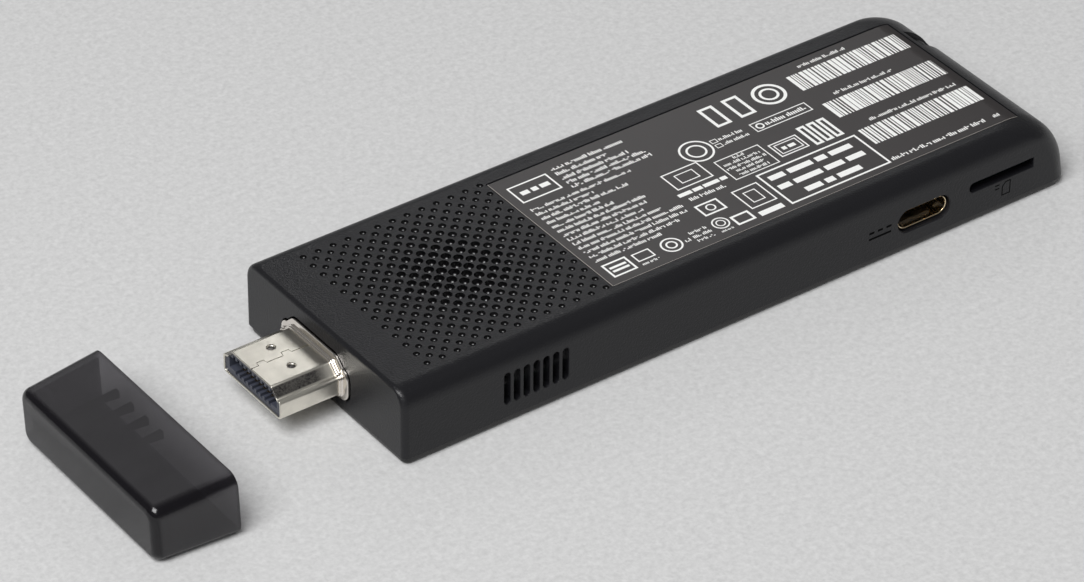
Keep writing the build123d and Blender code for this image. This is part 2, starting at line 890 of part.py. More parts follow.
def make_fan_connector():
    x = connector_x()
    body = block((x, x + fan_connector_length), centred(fan_connector_y, fan_connector_width),
                 (board_top, board_top + fan_connector_height))
    return chamfer(body.edges().filter_by(Axis.Y).group_by(Axis.Z)[-1], lead_radius)


def make_fan_leads():
    """Leads from the fan's ring to its connector, lying on the base."""
    leads = []
    z = fan_floor + lead_radius
    for i in range(lead_count):
        y = fan_connector_y + (i - (lead_count - 1) / 2) * lead_pitch
        start = grille_centre_x + (fan_ring_radius ** 2 - y ** 2) ** 0.5
        length = connector_x() - start
        lead = Rot(0, 90, 0) * extrude(RegularPolygon(lead_radius, peg_sides), length)
        leads.append(Pos(start, y, z) * lead)
    ring = post(grille_centre_x, 0, board_top, fan_top, fan_ring_radius)
    return group([lead - ring for lead in leads])


def fin_range():
    """Y of the fin stack's ends, between the fan's outlet and the side wall."""
    return -(fan_half + fin_gap), -(inner_half_width - fin_gap)


def pipe_bottom():
    """Height of the heat pipe's lower face."""
    return inner_roof - pipe_roof_gap - pipe_thickness


def make_heat_fins():
    y_range = fin_range()
    x_range = centred(grille_centre_x, fan_duct_width)
    fins = block(x_range, y_range, (board_top, board_top + fin_base))
    pitch = (fan_duct_width - fin_thickness) / (fin_count - 1)
    for i in range(fin_count):
        start = x_range[0] + i * pitch
        fins += block((start, start + fin_thickness), y_range, (board_top, pipe_bottom()))
    return fins


def processor_x():
    """X of the processor's centre, behind the fan."""
    return grille_centre_x + fan_half + processor_gap + spreader_length / 2


def make_heat_pipe():
    """Flat pipe from the fins, along the long wall, then over the processor's plate."""
    fin_low, fin_high = fin_range()
    width = abs(fin_high - fin_low) * pipe_width_share
    start = grille_centre_x - fan_duct_width / 2 + pipe_end_gap
    side_y = (fin_low + fin_high) / 2
    turn_x = processor_x() + (pipe_turn_share - 0.5) * spreader_length
    rise = abs(side_y - spreader_y)
    end_x = max(processor_x() + spreader_length / 2, turn_x + rise + pipe_bend_radius)
    points = [(start, side_y), (turn_x, side_y), (turn_x + rise, spreader_y),
              (end_x - pipe_end_gap, spreader_y)]
    path = FilletPolyline(*points, radius=pipe_bend_radius)
    level = pipe_bottom() + pipe_thickness / 2
    path = Pos(0, 0, level) * path
    outline = Rectangle(width, pipe_thickness)
    outline = chamfer(outline.vertices(), pipe_thickness / 3)
    return sweep(Plane(origin=path @ 0, x_dir=(0, 1, 0), z_dir=(1, 0, 0)) * outline, path)


def spreader_bottom():
    """Height of the plate's lower face, on the pad."""
    return board_top + package_height + die_height + pad_height


def cooler_screw_places():
    """Places of the screws through the plate's corner legs."""
    x, reach_x = processor_x(), (spreader_length - leg_size) / 2
    reach_y = (spreader_width - leg_size) / 2
    return [(x + i * reach_x, spreader_y + j * reach_y) for i in (-1, 1) for j in (-1, 1)]


def make_heat_spreader():
    x_range = centred(processor_x(), spreader_length)
    y_range = centred(spreader_y, spreader_width)
    plate = block(x_range, y_range, (spreader_bottom(), pipe_bottom()))
    for x, y in cooler_screw_places():
        plate += block(centred(x, leg_size), centred(y, leg_size), (board_top, spreader_bottom()))
    for x, y in cooler_screw_places():
        plate -= peg(x, y, board_top - overrun, pipe_bottom() + overrun,
                     cooler_screw_radius + screw_hole_gap)
    return plate


def make_cooler_screws():
    top = pipe_bottom()
    screws = []
    for x, y in cooler_screw_places():
        body = peg(x, y, top, top + cooler_head_height, cooler_head_radius)
        screws.append(body + peg(x, y, board_bottom, top, cooler_screw_radius))
    return group(screws)


def chip(x, y, length, width, height, low=None):
    """Flat package centred at a place on the board."""
    base = board_top if low is None else low
    return block(centred(x, length), centred(y, width), (base, base + height))


def make_processor_package():
    return chip(processor_x(), spreader_y, package_size, package_size, package_height)


def make_processor_die():
    return chip(processor_x(), spreader_y, die_size, die_size, die_height,
                board_top + package_height)


def make_thermal_pad():
    size = die_size + 2 * pad_overhang
    return chip(processor_x(), spreader_y, size, size, pad_height,
                board_top + package_height + die_height)


def chip_row_x():
    """X where the row of chips behind the plate starts."""
    return processor_x() + spreader_length / 2 + chip_gap


def make_memory_chips():
    x = chip_row_x() + memory_length / 2
    chips = []
    for i in range(memory_count):
        y = spreader_y + (i - (memory_count - 1) / 2) * memory_spacing
        chips.append(chip(x, y, memory_length, memory_width, memory_height))
    return group(chips)


def make_storage_chip():
    y = inner_half_width - storage_side_gap - storage_width / 2
    x = processor_x() - spreader_length / 2 + storage_length / 2
    low = spreader_y + spreader_width / 2 + chip_gap / 2
    width = min(storage_width, inner_half_width - board_side_gap - low)
    return chip(x, max(y, low + width / 2), storage_length, width, storage_height)


def power_row_x():
    """X where the power parts behind the memory start."""
    return chip_row_x() + memory_length + chip_gap


def make_power_controller():
    return chip(power_row_x() + controller_size / 2, controller_y, controller_size,
                controller_size, controller_height)


def make_power_inductors():
    parts = []
    x = power_row_x() + inductor_size / 2
    for i in range(inductor_count):
        y = inductor_edge_y - inductor_size / 2 - i * inductor_pitch
        body = chip(x, y, inductor_size, inductor_size, inductor_height)
        parts.append(chamfer(body.edges().filter_by(Axis.Z), inductor_corner))
    return group(parts)


def make_capacitors():
    x = power_row_x() + controller_size + chip_gap + capacitor_width / 2
    return group([chip(x, controller_y + (i - (capacitor_count - 1) / 2) * capacitor_pitch,
                       capacitor_length, capacitor_width, capacitor_height)
                  for i in range(capacitor_count)])


def make_clock_crystal():
    return chip(power_row_x() + crystal_length / 2, crystal_y, crystal_length, crystal_width,
                crystal_height)


def module_x():
    """X of the radio module's centre."""
    return from_far(module_far_gap + module_size / 2)


def lead_places():
    """Places of the two antenna sockets on the radio module, for -Y and +Y."""
    reach = antenna_lead_spacing / 2
    x, y = module_x(), module_y - module_size / 2 + antenna_lead_inset
    return {-1: (x - reach, y), 1: (x + reach, y)}


def module_top():
    """Height of the radio module's can."""
    return board_top + module_height


def make_wireless_module():
    module = chip(module_x(), module_y, module_size, module_size, module_base)
    can = module_size - 2 * module_can_inset
    module += chip(module_x(), module_y, can, can, module_height)
    for x, y in lead_places().values():
        module += peg(x, y, module_top(), module_top() + socket_height, socket_radius)
    return module


def make_antenna(side):
    """Flat radiator stuck under the roof along one long wall."""
    end = from_far(antenna_far_gap)
    outer = inner_half_width - antenna_side_gap
    y_range = (side * outer, side * (outer - antenna_width))
    return block((end - antenna_length, end), y_range, (inner_roof - antenna_thickness, inner_roof))


def make_antenna_left():
    return make_antenna(-1)


def make_antenna_right():
    return make_antenna(1)


def make_antenna_lead(side):
    """Thin lead from under an antenna down onto its socket on the module."""
    x, y = lead_places()[side]
    level = inner_roof - antenna_thickness - antenna_lead_radius
    outer = inner_half_width - antenna_side_gap - antenna_width / 2
    points = [(x, side * outer, level), (x, y, level), (x, y, module_top() + socket_height)]
    if abs(side * outer - y) < 2 * antenna_lead_bend:
        points[0] = (x, y + side * 2 * antenna_lead_bend, level)
    drop = level - module_top() - socket_height
    bend = min(antenna_lead_bend, drop * lead_bend_limit_share)
    path = FilletPolyline(*points, radius=bend)
    section = Plane(origin=path @ 0, z_dir=path % 0) * RegularPolygon(antenna_lead_radius, peg_sides)
    return sweep(section, path)


def make_antenna_lead_left():
    return make_antenna_lead(-1)


def make_antenna_lead_right():
    return make_antenna_lead(1)


def usb_c_axis_z():
    """Height of the power socket's axis, sunk into the board's edge."""
    return board_top - usb_c_sink


def side_tube(x, z, face, side, start, depth):
    """Section carried inwards from a distance behind one long wall's outer face."""
    y = side * (half_width - start)
    plane = Plane(origin=(x, y, z), x_dir=(side, 0, 0), z_dir=(0, -side, 0))
    return extrude(plane * face, depth)


def board_tabs(x, width, side, rear):
    """Pair of solder tabs of a socket that rest on the board."""
    tabs = []
    y_range = (side * rear, side * (rear + tab_width))
    for end in (-1, 1):
        edge = x + end * width / 2
        reach = (edge - end * tab_height, edge + end * tab_length)
        tabs.append(block(reach, y_range, (board_top, board_top + tab_height)))
    return tabs


def make_usb_c_shell():
    x, z = from_far(usb_c_far_gap), usb_c_axis_z()
    ring = SlotOverall(usb_c_width, usb_c_height)
    ring -= SlotOverall(usb_c_width - 2 * usb_c_wall, usb_c_height - 2 * usb_c_wall)
    shell = side_tube(x, z, ring, -1, usb_c_setback, usb_c_depth)
    rear = half_width - usb_c_setback - usb_c_depth
    return shell + board_tabs(x, usb_c_width, -1, rear)


def usb_c_inner(gap):
    """Inner outline of the power socket's shell, shrunk by a gap."""
    trim = 2 * (usb_c_wall + gap)
    return SlotOverall(usb_c_width - trim, usb_c_height - trim)


def make_usb_c_tongue():
    x, z = from_far(usb_c_far_gap), usb_c_axis_z()
    start = usb_c_setback + usb_c_depth - usb_c_block_length
    tongue = side_tube(x, z, usb_c_inner(socket_fit_gap), -1, start, usb_c_block_length)
    bar = Rectangle(usb_c_tongue_width, usb_c_tongue_height)
    return tongue + side_tube(x, z, bar, -1, start - usb_c_tongue_length, usb_c_tongue_length)


def make_usb_c_contacts():
    x, z = from_far(usb_c_far_gap), usb_c_axis_z()
    start = usb_c_setback + usb_c_depth - usb_c_block_length
    y_range = (-(half_width - start), -(half_width - start + usb_c_contact_length))
    contacts = []
    for side in (-1, 1):
        low = z + side * usb_c_tongue_height / 2
        for i in range(usb_c_contact_count):
            place = x + (i - (usb_c_contact_count - 1) / 2) * usb_c_contact_pitch
            contacts.append(block(centred(place, usb_c_contact_width), y_range,
                                  (low, low + side * usb_c_contact_thickness)))
    return group(contacts)


def card_slot_z():
    """Height of the card slot's middle."""
    return board_top + card_slot_rise


def card_socket_y():
    """Front and rear Y of the card socket."""
    front = -(half_width - card_socket_setback)
    return front, front + card_socket_depth


def make_card_socket_base():
    """Tray with two rails and a rear wall, cut away where the slider runs."""
    x = from_far(card_slot_far_gap)
    front, rear = card_socket_y()
    width = card_socket_width - 2 * (card_cover_flange + card_cover_gap)
    x_range = centred(x, width)
    top = board_top + card_rail_height
    base = block(x_range, (front, rear), (board_top, board_top + card_base_floor))
    base += block(x_range, (rear - card_rail_width, rear), (board_top, top))
    for side in (-1, 1):
        edge = x + side * width / 2
        base += block((edge, edge - side * card_rail_width), (front, rear), (board_top, top))
    low, high = slider_pocket()
    slider_x = slider_x_range()
    gap = card_slider_gap
    return base - block((slider_x[0] - gap, slider_x[1] + gap), (low, high),
                        (board_top + card_base_floor, top + overrun))


def slider_x_range():
    """X of the slider, at the inner edge of the near rail."""
    x = from_far(card_slot_far_gap)
    width = card_socket_width - 2 * (card_cover_flange + card_cover_gap)
    inner = x - width / 2 + card_rail_width
    return inner - card_rail_width / 2, inner - card_rail_width / 2 + card_slider_width


def slider_pocket():
    """Y of the slider's pocket in the rear of the tray."""
    front, rear = card_socket_y()
    high = rear - card_rail_width
    return high - card_slider_length - card_slider_travel - 2 * card_slider_gap, high


def make_card_slider():
    """Heart-cam slider that the card pushes inwards, at its outer stop."""
    low, high = slider_pocket()
    start = low + card_slider_gap
    base = board_top + card_base_floor + card_slider_gap
    return block(slider_x_range(), (start, start + card_slider_length),
                 (base, base + card_slider_height - card_slider_gap))


def make_card_socket_cover():
    """Sheet cover with folded sides and two windows."""
    x = from_far(card_slot_far_gap)
    front, rear = card_socket_y()
    low = board_top + card_rail_height
    high = low + card_cover_thickness
    cover = block(centred(x, card_socket_width), (front, rear), (low, high))
    for side in (-1, 1):
        edge = x + side * card_socket_width / 2
        cover += block((edge, edge - side * card_cover_flange), (front, rear), (board_top, high))
        window_x = centred(x + side * card_socket_width / 4, card_window_size)
        cover -= block(window_x, centred((front + rear) / 2, card_window_size),
                       (low - overrun, high + overrun))
    return cover


def make_card_contacts():
    x = from_far(card_slot_far_gap)
    front, rear = card_socket_y()
    end = rear - card_rail_width
    low = board_top + card_base_floor
    contacts = []
    for i in range(card_contact_count):
        place = x + (i - (card_contact_count - 1) / 2) * card_contact_pitch
        contacts.append(block(centred(place + card_rail_width / 2, card_contact_width),
                              (end - card_contact_length, end),
                              (low, low + card_contact_thickness)))
    return group(contacts)


def usb_a_axis_z():
    """Height of the full-size socket's axis, in the board's cut-out."""
    return board_top + usb_a_axis_rise


def make_usb_a_shell():
    x, z = from_far(usb_a_far_gap), usb_a_axis_z()
    ring = RectangleRounded(usb_a_width, usb_a_height, usb_a_corner)
    ring -= Rectangle(usb_a_width - 2 * usb_a_wall, usb_a_height - 2 * usb_a_wall)
    shell = side_tube(x, z, ring, 1, usb_a_setback, usb_a_depth)
    front = half_width - usb_a_setback
    for side in (-1, 1):
        window = centred(x + side * spring_window_offset, spring_window_width)
        y_range = (front - 2 * spring_window_width, front - 2 * spring_window_width
                   - spring_window_length)
        shell -= block(window, y_range, (z - usb_a_height, z + usb_a_height))
    return shell + board_tabs(x, usb_a_width, 1, front - usb_a_depth)


def make_usb_a_tongue():
    x, z = from_far(usb_a_far_gap), usb_a_axis_z()
    start = usb_a_setback + usb_a_depth - usb_a_block_length
    trim = 2 * (usb_a_wall + socket_fit_gap)
    filling = Rectangle(usb_a_width - trim, usb_a_height - trim)
    tongue = side_tube(x, z, filling, 1, start, usb_a_block_length)
    bar = Rectangle(usb_a_tongue_width, usb_a_tongue_height)
    return tongue + side_tube(x, z + usb_a_tongue_rise, bar, 1, start - usb_a_tongue_length,
                              usb_a_tongue_length)


def make_usb_a_contacts():
    x, z = from_far(usb_a_far_gap), usb_a_axis_z()
    start = usb_a_setback + usb_a_depth - usb_a_block_length
    low = z + usb_a_tongue_rise - usb_a_tongue_height / 2
    y_range = (half_width - start, half_width - start + usb_a_contact_length)
    contacts = []
    for i in range(usb_a_contact_count):
        place = x + (i - (usb_a_contact_count - 1) / 2) * usb_a_contact_pitch
        contacts.append(block(centred(place, usb_a_contact_width), y_range,
                              (low - usb_a_contact_thickness, low)))
    return group(contacts)


def button_z():
    """Height of the power button's middle."""
    return board_top + button_rise


def button_flange_size():
    """Width and height of the flange that keeps the button in."""
    grow = 2 * (button_gap + button_flange_overlap)
    return button_width + grow, button_height + grow


def button_flange_back():
    """Y of the flange's inner face."""
    return inner_half_width - button_flange_gap - button_flange_thickness


def make_power_button():
    """Slot-shaped key with a flange behind the wall."""
    x, z = along(button_station), button_z()
    face = SlotOverall(button_width, button_height)
    stem_depth = button_proud + side_wall + button_flange_gap
    button = side_tube(x, z, face, 1, -button_proud, stem_depth + button_flange_thickness)
    button = chamfer(button.edges().group_by(Axis.Y)[-1], button_edge_bevel)
    flange = SlotOverall(*button_flange_size())
    return button + side_tube(x, z, flange, 1, side_wall + button_flange_gap,
                              button_flange_thickness)


def make_power_switch():
    """Tact switch on the board behind the button."""
    x = along(button_station)
    nub_front = button_flange_back() - button_travel - switch_gap
    body_front = nub_front - nub_length
    switch = block(centred(x, switch_width), (body_front - switch_depth, body_front),
                   (board_top, board_top + switch_height))
    return switch + block(centred(x, nub_width), (body_front, nub_front),
                          centred(button_z(), nub_height))


def light_back():
    """Y of the light pipe's inner face."""
    return inner_half_width - board_side_gap - light_foot_depth


def make_light_pipe():
    """Clear rod through the wall with a foot on the board."""
    x, z = along(light_station), button_z()
    rod = side_tube(x, z, Circle(light_pipe_radius), 1, 0, half_width - light_back())
    foot = block(centred(x, light_foot_width), (light_back(), light_back() + light_foot_depth),
                 (board_top, z + light_pipe_radius))
    return rod + foot


def make_status_led():
    x, back = along(light_station), light_back() - led_gap
    return block(centred(x, light_foot_width), (back - led_depth, back),
                 (board_top, board_top + led_height))


def make_lanyard_bar():
    """Round bar across the notch, held in the walls at both ends."""
    length = notch_width + 2 * bar_ear
    bar = Rot(90, 0, 0) * Cylinder(bar_radius, length)
    return Pos(from_far(bar_far_gap), notch_y, bar_height) * bar


def shell_with_bar_seat(shell):
    """Label shell with two ears that hold the lanyard bar inside the far wall."""
    x, z = from_far(bar_far_gap), bar_height
    reach = bar_radius + bar_ear_wall
    limit = body_form(label_recess_depth, 0, body_height - label_recess_depth)
    for side in (-1, 1):
        inner = notch_y + side * notch_width / 2
        ear = block(centred(x, 2 * reach), (inner, inner + side * (bar_ear + bar_ear_wall)),
                    (z - reach, inner_roof))
        shell += ear & limit
    seat = Rot(90, 0, 0) * Cylinder(bar_radius + bar_ear_gap,
                                    notch_width + 2 * (bar_ear + bar_ear_gap))
    return shell - Pos(x, notch_y, z) * seat


MAKERS = {
    "label_shell": lambda: shell_with_bar_seat(make_label_shell()),
    "face_cover": make_face_cover,
    "rating_label": make_rating_label,
    "plug_cap": make_plug_cap,
    "hdmi_shell": make_hdmi_shell,
    "hdmi_bezel": make_hdmi_bezel,
    "hdmi_insulator": make_hdmi_insulator,
    "hdmi_contacts": make_hdmi_contacts,
    "usb_c_shell": make_usb_c_shell,
    "usb_c_tongue": make_usb_c_tongue,
    "usb_c_contacts": make_usb_c_contacts,
    "card_socket_cover": make_card_socket_cover,
    "card_socket_base": make_card_socket_base,
    "card_contacts": make_card_contacts,
    "card_slider": make_card_slider,
    "usb_a_shell": make_usb_a_shell,
    "usb_a_tongue": make_usb_a_tongue,
    "usb_a_contacts": make_usb_a_contacts,
    "power_button": make_power_button,
    "power_switch": make_power_switch,
    "status_led": make_status_led,
    "light_pipe": make_light_pipe,
    "lanyard_bar": make_lanyard_bar,
    "mainboard": make_mainboard,
    "board_screws": make_board_screws,
    "processor_package": make_processor_package,
    "processor_die": make_processor_die,
    "thermal_pad": make_thermal_pad,
    "heat_spreader": make_heat_spreader,
    "cooler_screws": make_cooler_screws,
    "heat_pipe": make_heat_pipe,
    "heat_fins": make_heat_fins,
    "fan_frame": make_fan_frame,
    "fan_rotor": make_fan_rotor,
    "fan_shaft": make_fan_shaft,
    "fan_sleeve": make_fan_sleeve,
    "fan_stator": make_fan_stator,
    "fan_screws": make_fan_screws,
    "fan_connector": make_fan_connector,
    "fan_leads": make_fan_leads,
    "memory_chips": make_memory_chips,
    "storage_chip": make_storage_chip,
    "power_controller": make_power_controller,
    "power_inductors": make_power_inductors,
    "capacitors": make_capacitors,
    "clock_crystal": make_clock_crystal,
    "wireless_module": make_wireless_module,
    "antenna_left": make_antenna_left,
    "antenna_right": make_antenna_right,
    "antenna_lead_left": make_antenna_lead_left,
    "antenna_lead_right": make_antenna_lead_right,
}

os.makedirs("parts", exist_ok=True)
for name, maker in MAKERS.items():
    export_step(maker(), f"parts/{name}.step")
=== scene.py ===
import json
import math
import random

import bpy
import numpy as np
from mathutils import Matrix, Vector


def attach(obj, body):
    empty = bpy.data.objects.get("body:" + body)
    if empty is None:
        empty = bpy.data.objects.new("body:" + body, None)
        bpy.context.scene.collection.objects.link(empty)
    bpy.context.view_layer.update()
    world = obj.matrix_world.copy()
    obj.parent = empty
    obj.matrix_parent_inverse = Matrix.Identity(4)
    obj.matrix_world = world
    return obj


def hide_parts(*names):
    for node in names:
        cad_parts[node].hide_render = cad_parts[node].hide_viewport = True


# Stick computer with its cap taken off. Lengths are in millimetres in the part's frame and are
# turned into metres where a mesh is made. Most places along the body are distances from its plug
# end, which along() turns into X.
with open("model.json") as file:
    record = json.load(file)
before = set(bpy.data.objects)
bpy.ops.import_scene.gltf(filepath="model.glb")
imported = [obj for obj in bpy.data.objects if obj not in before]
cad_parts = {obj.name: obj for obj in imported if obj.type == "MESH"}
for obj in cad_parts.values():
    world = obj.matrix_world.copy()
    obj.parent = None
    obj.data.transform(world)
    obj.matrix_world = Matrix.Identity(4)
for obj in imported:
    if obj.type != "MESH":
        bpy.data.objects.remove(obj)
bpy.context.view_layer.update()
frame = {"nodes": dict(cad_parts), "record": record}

MM = 0.001
PLUG_END = -57.6
FAR_END = 57.6
HALF_WIDTH = 19.0
SEAM = 1.0
TOP = 12.0
WALL = 1.5
SHOULDER = 2.85
NEAR_ROUND = 0.6
NEAR_CORNER = 0.95
FAR_ROUND = 8.9
FAR_LEAN = math.tan(math.radians(6.0))
FAR_CENTRE_Z = TOP - FAR_ROUND
FAR_CENTRE_X = FAR_END - FAR_LEAN * (FAR_CENTRE_Z - SEAM) - FAR_ROUND / math.cos(math.atan(FAR_LEAN))
FAR_CORNER_LOW = 2.6
FAR_CORNER_GROWTH = 1.5
LEAST_CORNER = 0.4
CORNER_STEPS = 14
LOWER_LEVELS = (SEAM + 0.26, 1.6, 2.4, 3.2)
ARC_DEGREES = (*range(6, 90, 2), 89, 89.6)
CAVITY_LEVELS = (SEAM + 1, 7.0, 9.0, TOP - WALL)
# Groove between the two halves of the housing, as (inset, rise).
SEAM_GROOVE = ((0.3, 0.02), (0.28, 0.16), (0.06, 0.2))
OVERRUN = 1.0
HOLE_DEPTH = 6.0
# A hair's breadth, by which a cutter's rim stands above the face that it cuts.
HAIR = 0.02

PLUG_Y = 1.75
PLUG_Z = 6.05
PLUG_FRONT = -10.3
PLUG_HALF_WIDTH = 6.95
PLUG_LEDGE_HALF_WIDTH = 6.2
PLUG_TOP_HALF_WIDTH = 4.72
PLUG_HALF_HEIGHT = 2.225
PLUG_LEDGE_HEIGHT = 0.83
PLUG_CORNERS = (0.75, 0.55, 0.5)
PLUG_HOLLOW_CORNER = 0.3
PLUG_LEAST_CORNER = 0.08
PLUG_LEAST_HOLLOW = 0.06
PLUG_SLANT_SHARE = 0.4
PLUG_WALL = 0.35
PLUG_REAR = 6.4
PLUG_HOLE_GAP = 1.3
PLUG_HOLE_DEPTH = 3.0


def along(distance):
    """X of a place at a distance from the plug end."""
    return PLUG_END + distance


# Meshes

def make_object(name, points, faces):
    """Object from points in millimetres; it stays at the origin."""
    mesh = bpy.data.meshes.new(name)
    mesh.from_pydata((np.asarray(points, float) * MM).tolist(), [], faces)
    mesh.update()
    obj = bpy.data.objects.new(name, mesh)
    bpy.context.scene.collection.objects.link(obj)
    return obj


def shade(obj, angle=32.0):
    """Smooth shading with edges kept sharp above an angle, and flat faces kept flat."""
    mesh = obj.data
    mesh.polygons.foreach_set("use_smooth", [True] * len(mesh.polygons))
    mesh.set_sharp_from_angle(angle=math.radians(angle))
    weighted = obj.modifiers.new("flat_faces", "WEIGHTED_NORMAL")
    weighted.keep_sharp = True


def dress(obj, material, slot, body, *nodes):
    """Gives a new piece its material, its body and the nodes that it stands for; slot is not used."""
    if not obj.data.materials:
        obj.data.materials.append(material)
    obj.data.materials[0] = material
    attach(obj, body)
    if nodes:
        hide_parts(*nodes)
    return obj


def loft(rings, closed=False):
    """Points and faces of rings joined in order. A ring runs anticlockwise seen from where the
    stack goes. The ends are closed with one face each, or the stack closes on itself."""
    rings = np.asarray(rings, float)
    count, size = rings.shape[:2]
    low = np.arange(count if closed else count - 1)[:, None] * size
    high = (low + size) % (count * size)
    here = np.arange(size)
    after = (here + 1) % size
    faces = np.stack((low + here, low + after, high + after, high + here), axis=-1)
    faces = faces.reshape(-1, 4).tolist()
    if not closed:
        faces.append(list(range(size - 1, -1, -1)))
        faces.append(list(range((count - 1) * size, count * size)))
    return rings.reshape(-1, 3), faces


def merge(parts):
    """Several (points, faces) pairs as one."""
    points, faces, start = [], [], 0
    for part_points, part_faces in parts:
        points.append(np.asarray(part_points, float))
        faces += [[start + i for i in face] for face in part_faces]
        start += len(part_points)
    return np.concatenate(points), faces


def cut(obj, parts, material=None):
    """Takes closed solids, given as (points, faces) pairs, out of an object; the cut faces take a
    material if one is given."""
    cutter = make_object("cutter", *merge(parts))
    if material:
        cutter.data.materials.append(material)
    boolean = obj.modifiers.new("cut", "BOOLEAN")
    boolean.operation = "DIFFERENCE"
    boolean.object = cutter
    boolean.solver = "EXACT"
    boolean.material_mode = "TRANSFER"
    graph = bpy.context.evaluated_depsgraph_get()
    mesh = bpy.data.meshes.new_from_object(obj.evaluated_get(graph))
    obj.modifiers.clear()
    obj.data = mesh
    bpy.data.objects.remove(cutter)


def rounded(corners, radii, steps=6):
    """Closed outline with each corner turned into an arc: centre + radius (cos t, sin t) about a point
    on the corner's bisector, from one side's tangent point to the other's."""
    corners = np.asarray(corners, float)
    radii = np.broadcast_to(radii, len(corners))
    outline = []
    for i, (corner, radius) in enumerate(zip(corners, radii)):
        to_last = corners[i - 1] - corner
        to_next = corners[(i + 1) % len(corners)] - corner
        to_last /= np.linalg.norm(to_last)
        to_next /= np.linalg.norm(to_next)
        half = math.acos(np.clip(to_last @ to_next, -1, 1)) / 2
        centre = corner + (to_last + to_next) / np.linalg.norm(to_last + to_next) * radius / math.sin(half)
        start = corner + to_last * radius / math.tan(half) - centre
        end = corner + to_next * radius / math.tan(half) - centre
        first, last = math.atan2(start[1], start[0]), math.atan2(end[1], end[0])
        turn = (last - first + math.pi) % (2 * math.pi) - math.pi
        angles = first + turn * np.arange(steps + 1) / steps
        outline.append(centre + radius * np.column_stack((np.cos(angles), np.sin(angles))))
    return np.concatenate(outline)


def flat(outline, axis, value):
    """Outline as points in the plane across an axis: (x, y) across z, (y, z) across x, (x, z) across y."""
    outline = np.asarray(outline, float)
    level = np.full(len(outline), value)
    if axis == "z":
        return np.column_stack((outline, level))
    if axis == "x":
        return np.column_stack((level, outline))
    return np.column_stack((outline[:, 0], level, outline[:, 1]))


def prism(outline, axis, low, high):
    """Closed solid of an anticlockwise outline between two places on the x or z axis."""
    return loft([flat(outline, axis, low), flat(outline, axis, high)])


def rectangle(x0, x1, y0, y1):
    """Corners of a rectangle, anticlockwise."""
    return [(x0, y0), (x1, y0), (x1, y1), (x0, y1)]


def slot_outline(x, z, width, height, steps=12):
    """Outline of a slot with round ends, just short of half circles so that no side has no length."""
    radius = min(width, height) / 2 * 0.999
    return rounded(rectangle(x - width / 2, x + width / 2, z - height / 2, z + height / 2), radius, steps)


def side_hole(outline, side, chamfer):
    """Hole through a long wall, opening out by a chamfer at the wall's outer face."""
    centre = (outline.max(axis=0) + outline.min(axis=0)) / 2
    span = (outline.max(axis=0) - outline.min(axis=0)) / 2
    wide = centre + (outline - centre) * (span + chamfer) / span
    levels = [(HALF_WIDTH + OVERRUN, wide), (HALF_WIDTH, wide), (HALF_WIDTH - chamfer, outline),
              (HALF_WIDTH - HOLE_DEPTH, outline)]
    rings = [flat(ring, "y", side * level) for level, ring in levels]
    return loft(rings if side > 0 else rings[::-1])


# Housing

def shoulder_inset(z):
    """Inset of the long walls at a height: 0, then r - sqrt(r^2 - (z - c)^2)."""
    rise = max(0.0, z - (TOP - SHOULDER))
    return SHOULDER - math.sqrt(max(0.0, SHOULDER ** 2 - rise ** 2))


def near_inset(z):
    """Inset of the plug end at a height."""
    rise = max(0.0, z - (TOP - NEAR_ROUND))
    return NEAR_ROUND - math.sqrt(max(0.0, NEAR_ROUND ** 2 - rise ** 2))


def far_x(z):
    """X of the far end at a height: a leaning line, then an arc to the top."""
    tangent = FAR_CENTRE_Z + FAR_ROUND * math.sin(math.atan(FAR_LEAN))
    if z < tangent:
        return FAR_END - FAR_LEAN * (z - SEAM)
    return FAR_CENTRE_X + math.sqrt(max(0.0, FAR_ROUND ** 2 - (z - FAR_CENTRE_Z) ** 2))


def top_z(x):
    """Height of the top at an X: flat, then the far arc."""
    run = np.maximum(0.0, x - FAR_CENTRE_X)
    return FAR_CENTRE_Z + np.sqrt(FAR_ROUND ** 2 - run ** 2)


def housing_ring(z, inset=0.0, level=None):
    """Rounded rectangle round the housing at a height, drawn at another level if asked."""
    x0, x1 = PLUG_END + near_inset(z) + inset, far_x(z) - inset
    half = HALF_WIDTH - shoulder_inset(z) - inset
    far = FAR_CORNER_LOW + FAR_CORNER_GROWTH * (z - SEAM) / (TOP - SEAM) - inset
    near = max(NEAR_CORNER - inset, LEAST_CORNER)
    outline = rounded(rectangle(x0, x1, -half, half), (near, far, far, near), CORNER_STEPS)
    return flat(outline, "z", z if level is None else level)


def housing_levels():
    """Heights of the rings: close together where the walls bend, c + r sin(t) on the far end's arc."""
    arc = FAR_CENTRE_Z + FAR_ROUND * np.sin(np.radians(ARC_DEGREES))
    return [*LOWER_LEVELS, *arc, TOP]


GRILLE_PITCH = 2.445
GRILLE_START = 6.67
GRILLE_COUNT = 13
GRILLE_SPAN = (GRILLE_COUNT - 1) * GRILLE_PITCH
GRILLE_X = along(GRILLE_START) + GRILLE_SPAN / 2
GRILLE_Y = -0.08
GRILLE_REACH = 16.0
WIDEST_BOWL = 0.79
BOWL_NARROWING = 0.33
OPEN_RADIUS = 7.5
DEEP_SHARE = 1.35
SHALLOW_SHARE = 1.05
BOWL_ANGLES = (10, 28, 44, 58, 70, 79, 85, 88.5)
BOWL_FLATNESS = 0.55
BOWL_SIDES = 24
BOWL_OVERRUN = 0.4


